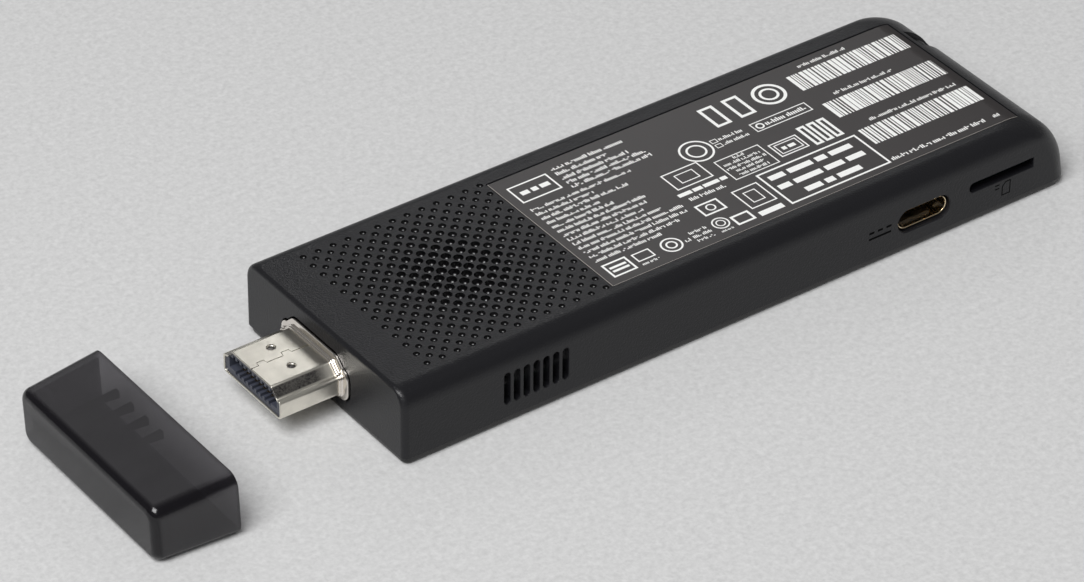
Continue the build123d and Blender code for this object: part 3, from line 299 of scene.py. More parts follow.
def grille_places():
    """(x, y, radius) of both lattices: the radius falls away from the middle."""
    places = []
    for shift, count in ((0, GRILLE_COUNT), (0.5, GRILLE_COUNT - 1)):
        for i in range(count):
            for j in range(count):
                x = along(GRILLE_START) + (i + shift) * GRILLE_PITCH
                y = (j + shift) * GRILLE_PITCH - GRILLE_SPAN / 2 + GRILLE_Y
                share = min(math.hypot(x - GRILLE_X, y) / GRILLE_REACH, 1.0)
                places.append((x, y, WIDEST_BOWL - BOWL_NARROWING * share))
    return places


def bowl(x, y, radius, depth, top, rim=0.05):
    """Solid of a round hollow: z = top - depth cos(t)^flatness at r sin(t), a flat floor between steep
    walls, then a small round at the rim."""
    turns = np.linspace(0, 2 * math.pi, BOWL_SIDES, endpoint=False)
    circle = np.column_stack((np.cos(turns), np.sin(turns)))
    angles = np.radians(BOWL_ANGLES)
    rings = list(zip(radius * np.sin(angles), top - depth * np.cos(angles) ** BOWL_FLATNESS))
    rings.append((radius + 0.35 * rim, top - 0.1 * rim))
    rings += [(radius + rim, top + rise) for rise in (HAIR / 2, BOWL_OVERRUN)]
    return loft([flat(circle * r + (x, y), "z", z) for r, z in rings])


def grille_pits():
    """Polished bowls, deeper over the fan's intake; their near-black colour is painted shade."""
    pits = []
    for x, y, radius in grille_places():
        deep = math.hypot(x - GRILLE_X, y) < OPEN_RADIUS
        pits.append(bowl(x, y, radius, radius * (DEEP_SHARE if deep else SHALLOW_SHARE), TOP))
    return pits


LABEL_X = (along(36.9), along(108.25))
LABEL_Y = (-15.1, 14.3)
RECESS = 0.3
RECESS_SLOPE = 0.1
BEND_STEPS = 8


def label_recess():
    """Solid above the recess floor: a tray's section carried along X, with its floor at a set depth
    below the top's bend and level with the rim at both ends."""
    (x0, x1), (y0, y1) = LABEL_X, LABEL_Y
    left, right = y0 - RECESS_SLOPE, y1 + RECESS_SLOPE
    sections = []
    for x in (x0 - RECESS_SLOPE, x0, *np.linspace(FAR_CENTRE_X, x1, BEND_STEPS), x1 + RECESS_SLOPE):
        top = top_z(np.clip(x, x0, x1))
        rim, roof = top + HAIR, TOP + OVERRUN
        floor = top - RECESS if x0 <= x <= x1 else rim
        section = [(left, rim), (y0, floor), (y1, floor), (right, rim), (right, roof), (left, roof)]
        sections.append(flat(section, "x", x))
    return loft(sections)


def plug_outline(grow=0.0):
    """Section of the plug: wide below a ledge, slanted to a narrow top, grown by an offset."""
    slant = PLUG_SLANT_SHARE * grow
    half, shoulder = PLUG_HALF_WIDTH + grow, PLUG_LEDGE_HALF_WIDTH + slant
    low, ledge, high = -PLUG_HALF_HEIGHT - grow, PLUG_LEDGE_HEIGHT + grow, PLUG_HALF_HEIGHT + grow
    right = [(half, low), (half, ledge), (shoulder, ledge), (PLUG_TOP_HALF_WIDTH + slant, high)]
    left = [(-y, z) for y, z in reversed(right)]
    low_corner, ledge_corner, top_corner = (max(r + grow, PLUG_LEAST_CORNER) for r in PLUG_CORNERS)
    hollow_corner = max(PLUG_HOLLOW_CORNER - grow, PLUG_LEAST_HOLLOW)
    radii = [low_corner, ledge_corner, hollow_corner, top_corner]
    return rounded(right + left, radii + radii[::-1]) + (PLUG_Y, PLUG_Z)


VENT_MIDDLE = 21.55
VENT_COUNT = 7
VENT_PITCH = 1.6
VENT_Z = 5.95
VENT_SIZE = (1.05, 5.1)
VENT_CHAMFER = 0.1
POWER_X = along(88.3)
POWER_Z = 5.2
POWER_SHELL = (8.94, 3.2)
POWER_HOLE = (9.3, 3.7)
POWER_CHAMFER = 0.14
# Rolled shell's profile from its inside round the rim, as (depth, inset).
POWER_PROFILE = ((9.0, 0.3), (0.72, 0.3), (0.6, 0.24), (0.55, 0.15), (0.6, 0.06), (0.72, 0.0), (9.0, 0.0))
CARD_X = along(102.35)
CARD_Z = 6.1
CARD_HALF_WIDTH = 5.85
CARD_HALF_HEIGHT = 0.8
CARD_CORNERS = (0.7, 0.18, 0.18, 0.7)
CARD_CHAMFER = 0.08
LONG_SOCKET_X = (FAR_END - 33.4, FAR_END - 19.6)
LONG_SOCKET_Z = (2.99, 9.3)
LONG_SOCKET_CORNER = 0.5
LONG_SOCKET_CHAMFER = 0.15
BUTTON_X = along(60.0)
LIGHT_X = along(68.2)
BUTTON_Z = 6.2
BUTTON_HOLE = (7.4, 2.8)
BUTTON_CHAMFER = 0.12
LIGHT_HOLE = (1.56, 1.55)
LIGHT_CHAMFER = 0.06
NOTCH_Y = (7.3, 11.6)
NOTCH_START = along(109.0)
NOTCH_FLOOR = 7.6
NOTCH_CORNERS = (0.6, 0.6, 0.2, 0.2)


def card_slot_outline():
    """Slot with a round left end and a nearly square right end."""
    corners = rectangle(CARD_X - CARD_HALF_WIDTH, CARD_X + CARD_HALF_WIDTH,
                        CARD_Z - CARD_HALF_HEIGHT, CARD_Z + CARD_HALF_HEIGHT)
    return rounded(corners, CARD_CORNERS, 8)


def openings():
    """Solids of every opening in the walls apart from the grille."""
    holes = []
    for side in (-1, 1):
        for i in range(VENT_COUNT):
            x = along(VENT_MIDDLE) + (i - (VENT_COUNT - 1) // 2) * VENT_PITCH
            holes.append(side_hole(slot_outline(x, VENT_Z, *VENT_SIZE, 8), side, VENT_CHAMFER))
    holes.append(side_hole(slot_outline(POWER_X, POWER_Z, *POWER_HOLE), -1, POWER_CHAMFER))
    holes.append(side_hole(card_slot_outline(), -1, CARD_CHAMFER))
    long_socket_hole = rounded(rectangle(*LONG_SOCKET_X, *LONG_SOCKET_Z), LONG_SOCKET_CORNER)
    holes.append(side_hole(long_socket_hole, 1, LONG_SOCKET_CHAMFER))
    holes.append(side_hole(slot_outline(BUTTON_X, BUTTON_Z, *BUTTON_HOLE), 1, BUTTON_CHAMFER))
    holes.append(side_hole(slot_outline(LIGHT_X, BUTTON_Z, *LIGHT_HOLE), 1, LIGHT_CHAMFER))
    plug_hole = plug_outline(PLUG_HOLE_GAP)
    holes.append(prism(plug_hole, "x", PLUG_END - OVERRUN, PLUG_END + PLUG_HOLE_DEPTH))
    notch = rounded(rectangle(*NOTCH_Y, NOTCH_FLOOR, TOP + OVERRUN), NOTCH_CORNERS)
    holes.append(prism(notch, "x", NOTCH_START, FAR_END + OVERRUN))
    return holes


def make_housing():
    """Housing as one outer surface with its cavity, openings, recess and dimples cut out."""
    rings = [housing_ring(SEAM, inset, SEAM + rise) for inset, rise in SEAM_GROOVE]
    rings += [housing_ring(z) for z in housing_levels()]
    obj = make_object("housing", *loft(rings))
    obj.data.materials.append(FINISHES["shell_plastic"])
    cavity = [housing_ring(SEAM, WALL, SEAM - OVERRUN)]
    cavity += [housing_ring(z, WALL) for z in CAVITY_LEVELS]
    cut(obj, [loft(cavity)])
    cut(obj, openings())
    cut(obj, [label_recess()])
    # The bowls' faces take the polished plastic, whose near-black colour is painted shade.
    cut(obj, grille_pits(), POLISHED_AND_SHADED)
    shade(obj)
    return obj


def make_power_socket():
    """Rolled shell of the power socket: a slot-shaped tube with a rounded front rim."""
    rings = []
    for depth, inset in POWER_PROFILE:
        width, height = (size - 2 * inset for size in POWER_SHELL)
        rings.append(flat(slot_outline(POWER_X, POWER_Z, width, height), "y", depth - HALF_WIDTH))
    obj = make_object("power_socket", *loft(rings, closed=True))
    shade(obj)
    return obj


# Label

LABEL_GAP = 0.1
# Heights over the recess floor: the film's two faces and the print.
FILM_LOW = 0.02
FILM_HIGH = 0.2
PRINT_LIFT = 0.215
BEND_CUTS = 9
NEAR_LINE = 0.06
END_LINE = 0.08
# Units of the label's drawing grid to the millimetre.
GRID = 22.0
LABEL_GRID_X = along(36.0)
LABEL_GRID_Y = 15.5
RING_SIDES = 48
PRINT_SEED = 7
# Parts of a row of print, as shares of its height.
BASE_SHARE = 0.42
STROKE_SHARE = 0.24
DASH_SHARE = 0.36
LETTER_SHARES = (0.66, 0.66, 0.9)
LEVEL_SHARES = (0.24, 0.34, 0.66)
LETTER_GAP_SHARE = 0.13
WORD_GAP_SHARE = 0.34
END_SHARE = 0.3
UPRIGHT_CHANCE = 0.8
# Widths and gaps of the stripes, in grid units.
STRIPES = (5, 6, 9, 14)
STRIPE_GAPS = (2.8, 3.8, 6.5)


def printed(x, y):
    """Points of print at places on the label: z = top(x) - recess + lift."""
    return np.column_stack((x, y, top_z(x) - RECESS + PRINT_LIFT))


def sheet_patch(x0, x1, y0, y1):
    """Thin patch, of print and of the painted edge highlights, that follows the label's bend; only its
    upper side.
    """
    bend = np.linspace(FAR_CENTRE_X, LABEL_X[1], BEND_CUTS)
    cuts = np.concatenate(([x0], bend[(bend > x0) & (bend < x1)], [x1]))
    points = printed(cuts.repeat(2), np.tile((y0, y1), len(cuts)))
    starts = np.arange(0, 2 * len(cuts) - 2, 2)[:, None]
    return points, (starts + (0, 2, 3, 1)).tolist()


def make_label():
    """Printed film in the recess, as a thin closed sheet."""
    ends = LABEL_Y[0] + LABEL_GAP, LABEL_Y[1] - LABEL_GAP
    rings = []
    for x in (LABEL_X[0] + LABEL_GAP, *np.linspace(FAR_CENTRE_X, LABEL_X[1] - LABEL_GAP, BEND_CUTS)):
        floor = top_z(x) - RECESS
        rings.append(flat(rectangle(*ends, floor + FILM_LOW, floor + FILM_HIGH), "x", x))
    obj = make_object("label_sheet", *loft(rings))
    shade(obj)
    return obj


def grid_x(value):
    """X of a place on the label's drawing grid."""
    return LABEL_GRID_X + value / GRID


def grid_y(value):
    """Y of a place on the label's drawing grid, counted down from its upper edge."""
    return LABEL_GRID_Y - value / GRID


class Print:
    """White print on the label: patches a hair above the film."""

    def __init__(self):
        self.parts = []
        self.random = random.Random(PRINT_SEED)

    def bar(self, x0, x1, y0, y1):
        """Filled rectangle in grid units."""
        self.parts.append(sheet_patch(grid_x(x0), grid_x(x1), grid_y(y1), grid_y(y0)))

    def frame(self, x0, x1, y0, y1, width):
        """Rectangle outline."""
        self.bar(x0, x1, y0, y0 + width)
        self.bar(x0, x1, y1 - width, y1)
        self.bar(x0, x0 + width, y0 + width, y1 - width)
        self.bar(x1 - width, x1, y0 + width, y1 - width)

    def ring(self, x, y, radius, width):
        """Circle outline: x + r cos(t), y - r sin(t) at two radii."""
        turns = np.linspace(0.0, 2 * math.pi, RING_SIDES + 1).repeat(2)
        radii = np.tile((radius - width, radius), RING_SIDES + 1)
        points = printed(grid_x(x + radii * np.cos(turns)), grid_y(y - radii * np.sin(turns)))
        starts = np.arange(0, 2 * RING_SIDES, 2)[:, None]
        self.parts.append((points, (starts + (0, 1, 3, 2)).tolist()))

    def words(self, x0, x1, y, height):
        """Row of small upright bars and level dashes in groups, standing for a line of small print."""
        x, left = x0, self.random.randint(4, 9)
        low, stroke = y + height * BASE_SHARE, height * STROKE_SHARE
        while x < x1 - height * END_SHARE:
            if left == 0:
                x += height * WORD_GAP_SHARE
                left = self.random.randint(5, 14)
            if self.random.random() < UPRIGHT_CHANCE:
                self.bar(x, x + stroke, low - height * self.random.choice(LETTER_SHARES), low)
                x += stroke
            else:
                level = low - height * self.random.choice(LEVEL_SHARES)
                self.bar(x, x + height * DASH_SHARE, level, level + stroke)
                x += height * DASH_SHARE
            x += height * LETTER_GAP_SHARE
            left -= 1

    def dashes(self, lengths, x, y, height, gap):
        """Row of thick plain dashes."""
        for length in lengths:
            self.bar(x, x + length, y - height / 2, y + height / 2)
            x += length + gap

    def stripes(self, x0, x1, y0, y1):
        """Block of upright stripes of mixed widths."""
        x = x0
        while x < x1:
            width = self.random.choice(STRIPES)
            self.bar(x, min(x + width, x1), y0, y1)
            x += width + self.random.choice(STRIPE_GAPS)

    def piece(self):
        """All patches as one object."""
        return make_object("label_print", *merge(self.parts))


FRAMES = (
    (55, 203, 80, 172, 6), (52, 140, 568, 640, 7), (158, 222, 575, 618, 5), (518, 586, 590, 640, 8),
    (478, 616, 296, 388, 5), (512, 582, 318, 366, 4), (464, 548, 484, 546, 7), (716, 740, 230, 250, 3),
    (716, 740, 258, 278, 3), (657, 828, 330, 446, 4), (602, 700, 488, 596, 5), (628, 674, 512, 572, 4),
    (785, 842, 76, 188, 11), (878, 938, 76, 188, 11), (871, 1089, 230, 279, 4), (848, 956, 354, 430, 5),
    (860, 944, 366, 418, 4), (976, 1007, 330, 440, 10), (1015, 1046, 330, 440, 10),
    (1054, 1085, 330, 440, 10), (718, 1105, 461, 645, 7),
)
RINGS = (
    (291, 603, 36, 6), (291, 603, 19, 6), (480, 598, 29, 5), (480, 598, 16, 4), (506, 515, 17, 5),
    (652, 252, 57, 7), (652, 252, 34, 7), (1028, 132, 57, 11), (1028, 132, 33, 9), (897, 255, 15, 6),
)
BARS = ((66, 126, 590, 600), (66, 126, 608, 618), (605, 694, 619, 642))
DASHES = (
    ((30, 22, 34), 78, 127, 20, 10), ((50, 34, 58, 24), 460, 414, 17, 6), ((16, 26), 876, 393, 16, 8),
    ((58, 92, 40, 84), 742, 500, 24, 15), ((46, 104, 70, 66), 738, 554, 24, 15),
    ((62, 34, 88), 800, 608, 24, 15),
)
HEADING_X = 227
HEADING_HEIGHT = 19
HEADING_ROWS = ((74, 498), (103, 425), (131, 478), (157, 528), (183, 532))
SMALL_ROWS = (430, 268, 378, 252, 286, 380, 370, 338, 382, 445, 442, 390, 306)
SMALL_X = 52
SMALL_Y = 216
SMALL_PITCH = 26.9
SMALL_HEIGHT = 17
LOOSE_ROWS = (
    (160, 222, 634, 13), (336, 356, 612, 17), (368, 436, 588, 15), (368, 436, 611, 15),
    (368, 436, 633, 15), (455, 503, 637, 10), (478, 618, 448, 18), (746, 838, 240, 17),
    (746, 844, 268, 17), (722, 764, 344, 15), (672, 812, 364, 15), (668, 818, 386, 15),
    (688, 798, 406, 15), (684, 802, 428, 15), (918, 1078, 255, 22),
)
STRIPE_ROW_X = 1196
STRIPE_ROWS = ((62, 1388), (245, 1430), (423, 1540))
STRIPES_X = (1128, 1562)
STRIPES_Y = (27, 117)
LAST_ROWS = ((1116, 1490, 632, 20), (1520, 1546, 632, 17))


def make_print():
    """Plain rows, frames, rings and stripe blocks in the label's arrangement, from the tables above:
    frames (x0, x1, y0, y1, width), rings (x, y, radius, width), bars (x0, x1, y0, y1), dashes
    (lengths, x, y, height, gap) and rows of words (x0, x1, y, height)."""
    sheet = Print()
    tables = ((sheet.frame, FRAMES), (sheet.ring, RINGS), (sheet.bar, BARS), (sheet.dashes, DASHES))
    for draw, table in tables:
        for sizes in table:
            draw(*sizes)
    for y, end in HEADING_ROWS:
        sheet.words(HEADING_X, end, y, HEADING_HEIGHT)
    for i, end in enumerate(SMALL_ROWS):
        sheet.words(SMALL_X, end, SMALL_Y + SMALL_PITCH * i, SMALL_HEIGHT)
    for row in LOOSE_ROWS:
        sheet.words(*row)
    for y, end in STRIPE_ROWS:
        sheet.words(STRIPE_ROW_X, end, y, SMALL_HEIGHT)
        sheet.stripes(*STRIPES_X, *(y + below for below in STRIPES_Y))
    for row in LAST_ROWS:
        sheet.words(*row)
    return sheet.piece()


def label_edges():
    """Painted highlights: thin light lines where the film's cut edge catches the light, on its two near
    sides.
    """
    x0, x1 = LABEL_X[0] + LABEL_GAP, LABEL_X[1] - LABEL_GAP
    y0, y1 = LABEL_Y[0] + LABEL_GAP, LABEL_Y[1] - LABEL_GAP
    parts = [sheet_patch(x0, x1, y0, y0 + NEAR_LINE), sheet_patch(x0, x0 + END_LINE, y0, y1)]
    return make_object("label_edges", *merge(parts))


# Marks on the port side, as (x0, x1, z0, z1) with x from the plug end.
SIDE_BARS = (
    (78.4, 82.35, 4.62, 4.95), (78.4, 79.3, 5.6, 5.95), (79.92, 80.82, 5.6, 5.95),
    (81.45, 82.35, 5.6, 5.95), (102.5, 102.66, 2.75, 4.2), (103.9, 104.06, 2.75, 4.75),
    (102.5, 104.06, 2.6, 2.76), (103.1, 104.06, 4.72, 4.88), (101.2, 102.0, 4.6, 4.78),
    (101.2, 102.0, 4.0, 4.18),
)
CARD_MARK_CORNER = ((102.5, 4.2), (102.66, 4.14), (103.2, 4.74), (103.1, 4.88))
SIDE_PRINT_LIFT = 0.012


def side_print():
    """Dark marks on the port side: three dashes over a line, and a plain card outline."""
    level = -HALF_WIDTH - SIDE_PRINT_LIFT
    outlines = [rectangle(*sizes) for sizes in SIDE_BARS] + [CARD_MARK_CORNER]
    parts = [(flat(np.add(outline, (PLUG_END, 0.0)), "y", level), [(0, 1, 2, 3)]) for outline in outlines]
    return make_object("side_marks", *merge(parts))


# Plug

PLUG_TOP = PLUG_Z + PLUG_HALF_HEIGHT
PLUG_RIM = 0.1
# Plug's profile from its inside round the front rim, as (distance from the housing, offset).
PLUG_PROFILE = (
    (PLUG_REAR, -PLUG_WALL), (PLUG_FRONT + PLUG_RIM, -PLUG_WALL), (PLUG_FRONT + 0.03, 0.04 - PLUG_WALL),
    (PLUG_FRONT, PLUG_RIM - PLUG_WALL), (PLUG_FRONT, -PLUG_RIM), (PLUG_FRONT + 0.03, -0.03),
    (PLUG_FRONT + PLUG_RIM, 0.0), (-6.0, 0.0), (-1.0, 0.0), (PLUG_REAR, 0.0),
)
GROOVE_HALF_WIDTH = 0.07
GROOVE_DEPTH = 0.2
DIMPLE_X = along(-5.5)
DIMPLE_Y = (4.25, -0.68)
DIMPLE_RADIUS = 0.62
DIMPLE_DEPTH = 0.27
DIMPLE_RIM = 0.16
# Joint of the folded sheet with its two dovetails, as (distance from the housing, y).
GROOVE_PATH = (
    (-11, 1.75), (-9.1, 1.75), (-8.95, 2.45), (-7.9, 2.45), (-7.75, 1.75), (-5.2, 1.75), (-5.05, 2.5),
    (-3.9, 2.5), (-3.75, 1.85), (1, 1.85),
)
# Collar's profile, as (distance from the housing, offset from the plug's section).
COLLAR_PROFILE = (
    (0.45, 0.03), (-1.1, 0.02), (-1.1, 0.05), (-1.05, 0.17), (-0.9, 0.22), (-0.78, 0.17), (-0.72, 0.34),
    (-0.6, 0.42), (-0.48, 0.36), (-0.4, 0.55), (-0.34, 0.92), (-0.25, 1.05), (-0.1, 1.08), (0.3, 1.08),
    (0.45, 1.0),
)
INSERT_FRONT = PLUG_FRONT + 0.22
INSERT_GAP = 0.01
MOUTH_HALF_WIDTH = 5.7
MOUTH_HALF_HEIGHT = 0.95
MOUTH_DEPTH = 7.2
# Contacts above and below the mouth, as (side, count).
CONTACT_ROWS = ((1, 10), (-1, 9))
CONTACT_PITCH = 1.0
COMB_HEIGHTS = (0.8, 1.42)
COMB_HALF_WIDTH = 0.27


def plug_rings(profile):
    """Rings of the plug's section, one to each (distance, offset) of a profile."""
    return [flat(plug_outline(offset), "x", along(distance)) for distance, offset in profile]


def joint_groove():
    """Thin groove along the folded sheet's joint, with its two dovetails."""
    path = np.add(GROOVE_PATH, (PLUG_END, 0.0))
    steps = np.gradient(path, axis=0)
    normals = np.column_stack((-steps[:, 1], steps[:, 0]))
    normals /= np.linalg.norm(normals, axis=1)[:, None]
    offset = normals * GROOVE_HALF_WIDTH
    outline = np.concatenate((path - offset, (path + offset)[::-1]))
    return prism(outline, "z", PLUG_TOP - GROOVE_DEPTH, PLUG_TOP + OVERRUN)


def make_plug():
    """Formed shell: inside, round the front rim, and back along the outside."""
    obj = make_object("plug_shell", *loft(plug_rings(PLUG_PROFILE), closed=True))
    cut(obj, [bowl(DIMPLE_X, y, DIMPLE_RADIUS, DIMPLE_DEPTH, PLUG_TOP, DIMPLE_RIM) for y in DIMPLE_Y])
    cut(obj, [joint_groove()])
    shade(obj)
    return obj


def make_collar():
    """Flared collar: two small rolled steps, then a flare that meets the housing."""
    obj = make_object("plug_collar", *loft(plug_rings(COLLAR_PROFILE), closed=True))
    shade(obj, 40.0)
    return obj


def make_insert():
    """Moulded insert with a comb of grooves above and below its mouth, one to each contact."""
    start, end = along(INSERT_FRONT) - OVERRUN, along(INSERT_FRONT + MOUTH_DEPTH)
    outline = plug_outline(-PLUG_WALL - INSERT_GAP)
    obj = make_object("plug_insert", *prism(outline, "x", along(INSERT_FRONT), along(PLUG_REAR)))
    mouth = rectangle(PLUG_Y - MOUTH_HALF_WIDTH, PLUG_Y + MOUTH_HALF_WIDTH,
                      PLUG_Z - MOUTH_HALF_HEIGHT, PLUG_Z + MOUTH_HALF_HEIGHT)
    cut(obj, [prism(mouth, "x", start, end)])
    for side, count in CONTACT_ROWS:
        low, high = sorted(PLUG_Z + side * height for height in COMB_HEIGHTS)
        grooves = []
        for i in range(count):
            y = PLUG_Y + (i - (count - 1) / 2) * CONTACT_PITCH
            outline = rectangle(y - COMB_HALF_WIDTH, y + COMB_HALF_WIDTH, low, high)
            grooves.append(prism(outline, "x", start, end))
        cut(obj, grooves)
    shade(obj)
    return obj


# Cap

CAP_DEPTH = 12.5
CAP_WALL = 1.1
CAP_END = (33.2, 9.0)
CAP_MOUTH = (35.0, 9.95)
CAP_DRAFT = math.atan((CAP_MOUTH[1] - CAP_END[1]) / 2 / CAP_DEPTH)
CAP_EDGE = 1.35
CAP_CORNER = 2.0
CAP_INNER_CORNER = 0.35
CAP_LEAST_CORNER = 0.12
CAP_BOTTOM_CORNER = 0.2
CAP_BOTTOM_RISE = 0.4
CAP_BOTTOM_RUN = 0.3
CAP_RIM = 0.08
CAP_STEPS = 10
CAP_LEVELS = (CAP_EDGE, 5.0, 9.0, CAP_DEPTH - CAP_RIM)
CAP_INNER_LEVELS = (CAP_DEPTH - CAP_RIM, 8.0, 3.0, CAP_WALL + CAP_BOTTOM_RISE)
CAP_Y = -1.06
CAP_GAP = 25.4
RIB_COUNT = 4
RIB_PITCH = 3.6
RIB_MIDDLE = 3.3
RIB_SINK = 0.02
# Both ends of a rib, as (distance from the cap's closed end, half width, drop).
RIB_ENDS = ((2.4, 0.05, 0.06), (10.6, 0.42, 1.15))


def laid(points):
    """Cap points turned onto its broad face and set down in front of the plug."""
    points = np.asarray(points, float)
    turn, lean = math.cos(CAP_DRAFT), math.sin(CAP_DRAFT)
    x = points[:, 0] * turn - points[:, 2] * lean
    z = points[:, 0] * lean + points[:, 2] * turn
    drop = CAP_MOUTH[1] / 2 * turn - CAP_DEPTH * lean
    return np.column_stack((x + PLUG_END - CAP_GAP - CAP_DEPTH, points[:, 1] + CAP_Y, z + drop))


def cap_size(distance):
    """Width and height of the cap at a distance from its closed end."""
    share = distance / CAP_DEPTH
    return [end + (mouth - end) * share for end, mouth in zip(CAP_END, CAP_MOUTH)]


def cap_ring(distance, inset, radius):
    """Rounded rectangle across the cap."""
    width, height = (size - 2 * inset for size in cap_size(distance))
    corners = rectangle(-width / 2, width / 2, -height / 2, height / 2)
    return flat(rounded(corners, radius, CAP_STEPS), "x", distance)


def mark_bends(obj, ring_bends):
    """Attribute bend, from 0 on the flats to 1 in the middle of each round: sin(pi t) along its arc, which
    places the painted shade of the rounds; attribute inner, 1 on the inside, whose rings have no bend
    value."""
    corner = np.tile(np.sin(math.pi * np.arange(CAP_STEPS + 1) / CAP_STEPS), 4)
    inner = np.array([[bend is None] for bend in ring_bends], float)
    rounds = np.maximum([[bend or 0.0] for bend in ring_bends], corner) * (1.0 - inner)
    for name, values in (("bend", rounds), ("inner", inner.repeat(len(corner)))):
        obj.data.attributes.new(name, "FLOAT", "POINT").data.foreach_set("value", values.ravel())


def make_cap():
    """Closed end with a soft edge, outside, mouth rim, then the inside back to its end."""
    rings = []
    bends = []
    for degrees in range(0, 100, 10):
        angle = math.radians(degrees)
        bends.append(math.sin(2 * angle))
        inset = CAP_EDGE * (1 - math.sin(angle))
        corner = max(CAP_CORNER - inset, CAP_LEAST_CORNER)
        rings.append(cap_ring(CAP_EDGE * (1 - math.cos(angle)), inset, corner))
    rings += [cap_ring(distance, 0, CAP_CORNER) for distance in CAP_LEVELS]
    rings.append(cap_ring(CAP_DEPTH, CAP_RIM, CAP_CORNER - CAP_RIM))
    rings.append(cap_ring(CAP_DEPTH, CAP_WALL - CAP_RIM, CAP_INNER_CORNER + CAP_RIM))
    rings += [cap_ring(distance, CAP_WALL, CAP_INNER_CORNER) for distance in CAP_INNER_LEVELS]
    rings.append(cap_ring(CAP_WALL, CAP_WALL + CAP_BOTTOM_RUN, CAP_BOTTOM_CORNER))
    bends += [0.0] * (len(CAP_LEVELS) + 1)
    bends += [None] * (len(CAP_INNER_LEVELS) + 2)
    points, faces = loft(rings)
    obj = make_object("plug_cap_smoky", laid(points), faces)
    mark_bends(obj, bends)
    shade(obj)
    return obj


def make_cap_ribs():
    """Wedge ribs under the roof and over the floor, which run out towards the closed end; their darker
    plastic is painted shade.
    """
    parts = []
    for i in range(RIB_COUNT):
        y = RIB_MIDDLE + (i - (RIB_COUNT - 1) / 2) * RIB_PITCH
        for sign in (1, -1):
            rings = []
            for x, half, drop in RIB_ENDS:
                wall = cap_size(x)[1] / 2 - CAP_WALL + RIB_SINK
                low, high = sorted((sign * wall, sign * (wall - drop)))
                rings.append(flat(rectangle(y - half, y + half, low, high), "x", x))
            points, faces = loft(rings)
            parts.append((laid(points), faces))
    obj = make_object("cap_ribs", *merge(parts))
    shade(obj)
    return obj


# Materials

class Value:
    """Output of a node, with arithmetic that adds maths nodes."""

    def __init__(self, tree, socket):
        self.tree = tree
        self.socket = socket

    def maths(self, operation, *others, clamp=False):
        """Value of a maths node, with this value in its first socket."""
        node = self.tree.nodes.new("ShaderNodeMath")
        node.operation = operation
        node.use_clamp = clamp
        for socket, value in zip(node.inputs, (self,) + others):
            feed(self.tree, socket, value)
        return Value(self.tree, node.outputs[0])

    def __add__(self, other):
        return self.maths("ADD", other)

    def __sub__(self, other):
        return self.maths("SUBTRACT", other)

    def __rsub__(self, other):
        return self * -1.0 + other

    def __mul__(self, other):
        return self.maths("MULTIPLY", other)

    def __truediv__(self, other):
        return self.maths("DIVIDE", other)

    def __rtruediv__(self, other):
        return self.maths("POWER", -1.0) * other

    __radd__ = __add__
    __rmul__ = __mul__

    def spread(self, low, high):
        """Value carried from 0..1 to low..high."""
        return self * (high - low) + low

    def step(self, low, high):
        """0 at low, 1 at high, a ramp between them and level past them."""
        return ((self - low) / (high - low)).maths("ADD", 0.0, clamp=True)


def feed(tree, socket, value):
    """Sets a socket to a constant or links it to a node's output."""
    if isinstance(value, Value):
        tree.links.new(value.socket, socket)
    else:
        socket.default_value = value


class Surface:
    """Material under construction."""

    def __init__(self, name):
        self.material = bpy.data.materials.new(name)
        self.material.use_nodes = True
        self.tree = self.material.node_tree
        self.tree.nodes.clear()
        self.place = self.node("TexCoord", output="Object")

    def node(self, kind, output=0, inputs=(), **settings):
        """Any other node, with its settings and inputs; returns one output."""
        node = self.tree.nodes.new("ShaderNode" + kind)
        for key, value in settings.items():
            setattr(node, key, value)
        for key, value in dict(inputs).items():
            feed(self.tree, node.inputs[key], value)
        return Value(self.tree, node.outputs[output])

    def noise(self, scale, detail=3.0, rough=0.55):
        """Cloudy noise with so many features to the metre."""
        return self.node("TexNoise", "Fac", {"Vector": self.place, "Scale": scale, "Detail": detail,
                                             "Roughness": rough})

    def cells(self, scale):
        """Distance to random points, for grain and specks."""
        return self.node("TexVoronoi", "Distance", {"Vector": self.place, "Scale": scale})

    def blend(self, share, first, second):
        """Colour mixed from two colours by a share."""
        node = self.tree.nodes.new("ShaderNodeMix")
        node.data_type = "RGBA"
        feed(self.tree, node.inputs["Factor"], share)
        for socket, value in ((node.inputs[6], first), (node.inputs[7], second)):
            feed(self.tree, socket, value if isinstance(value, Value) else tuple(value) + (1.0,))
        return Value(self.tree, node.outputs[2])

    def bump(self, height, depth, strength=1.0):
        """Normal from a height; depth is in millimetres."""
        return self.node("Bump", "Normal", {"Height": height, "Distance": depth * MM,
                                            "Strength": strength})

    def principled(self, **inputs):
        """Shader with its inputs given by name, underscores standing for spaces."""
        return self.node("BsdfPrincipled", 0, {k.replace("_", " "): v for k, v in inputs.items()})

    def finish(self, shader):
        """Material with the shader as its surface."""
        output = self.tree.nodes.new("ShaderNodeOutputMaterial")
        self.tree.links.new(shader.socket, output.inputs["Surface"])
        return self.material


def srgb(red, green, blue):
    """Linear colour of an 8-bit display colour."""
    return tuple((c / 255 / 12.92) if c < 11 else ((c / 255 + 0.055) / 1.055) ** 2.4
                 for c in (red, green, blue))


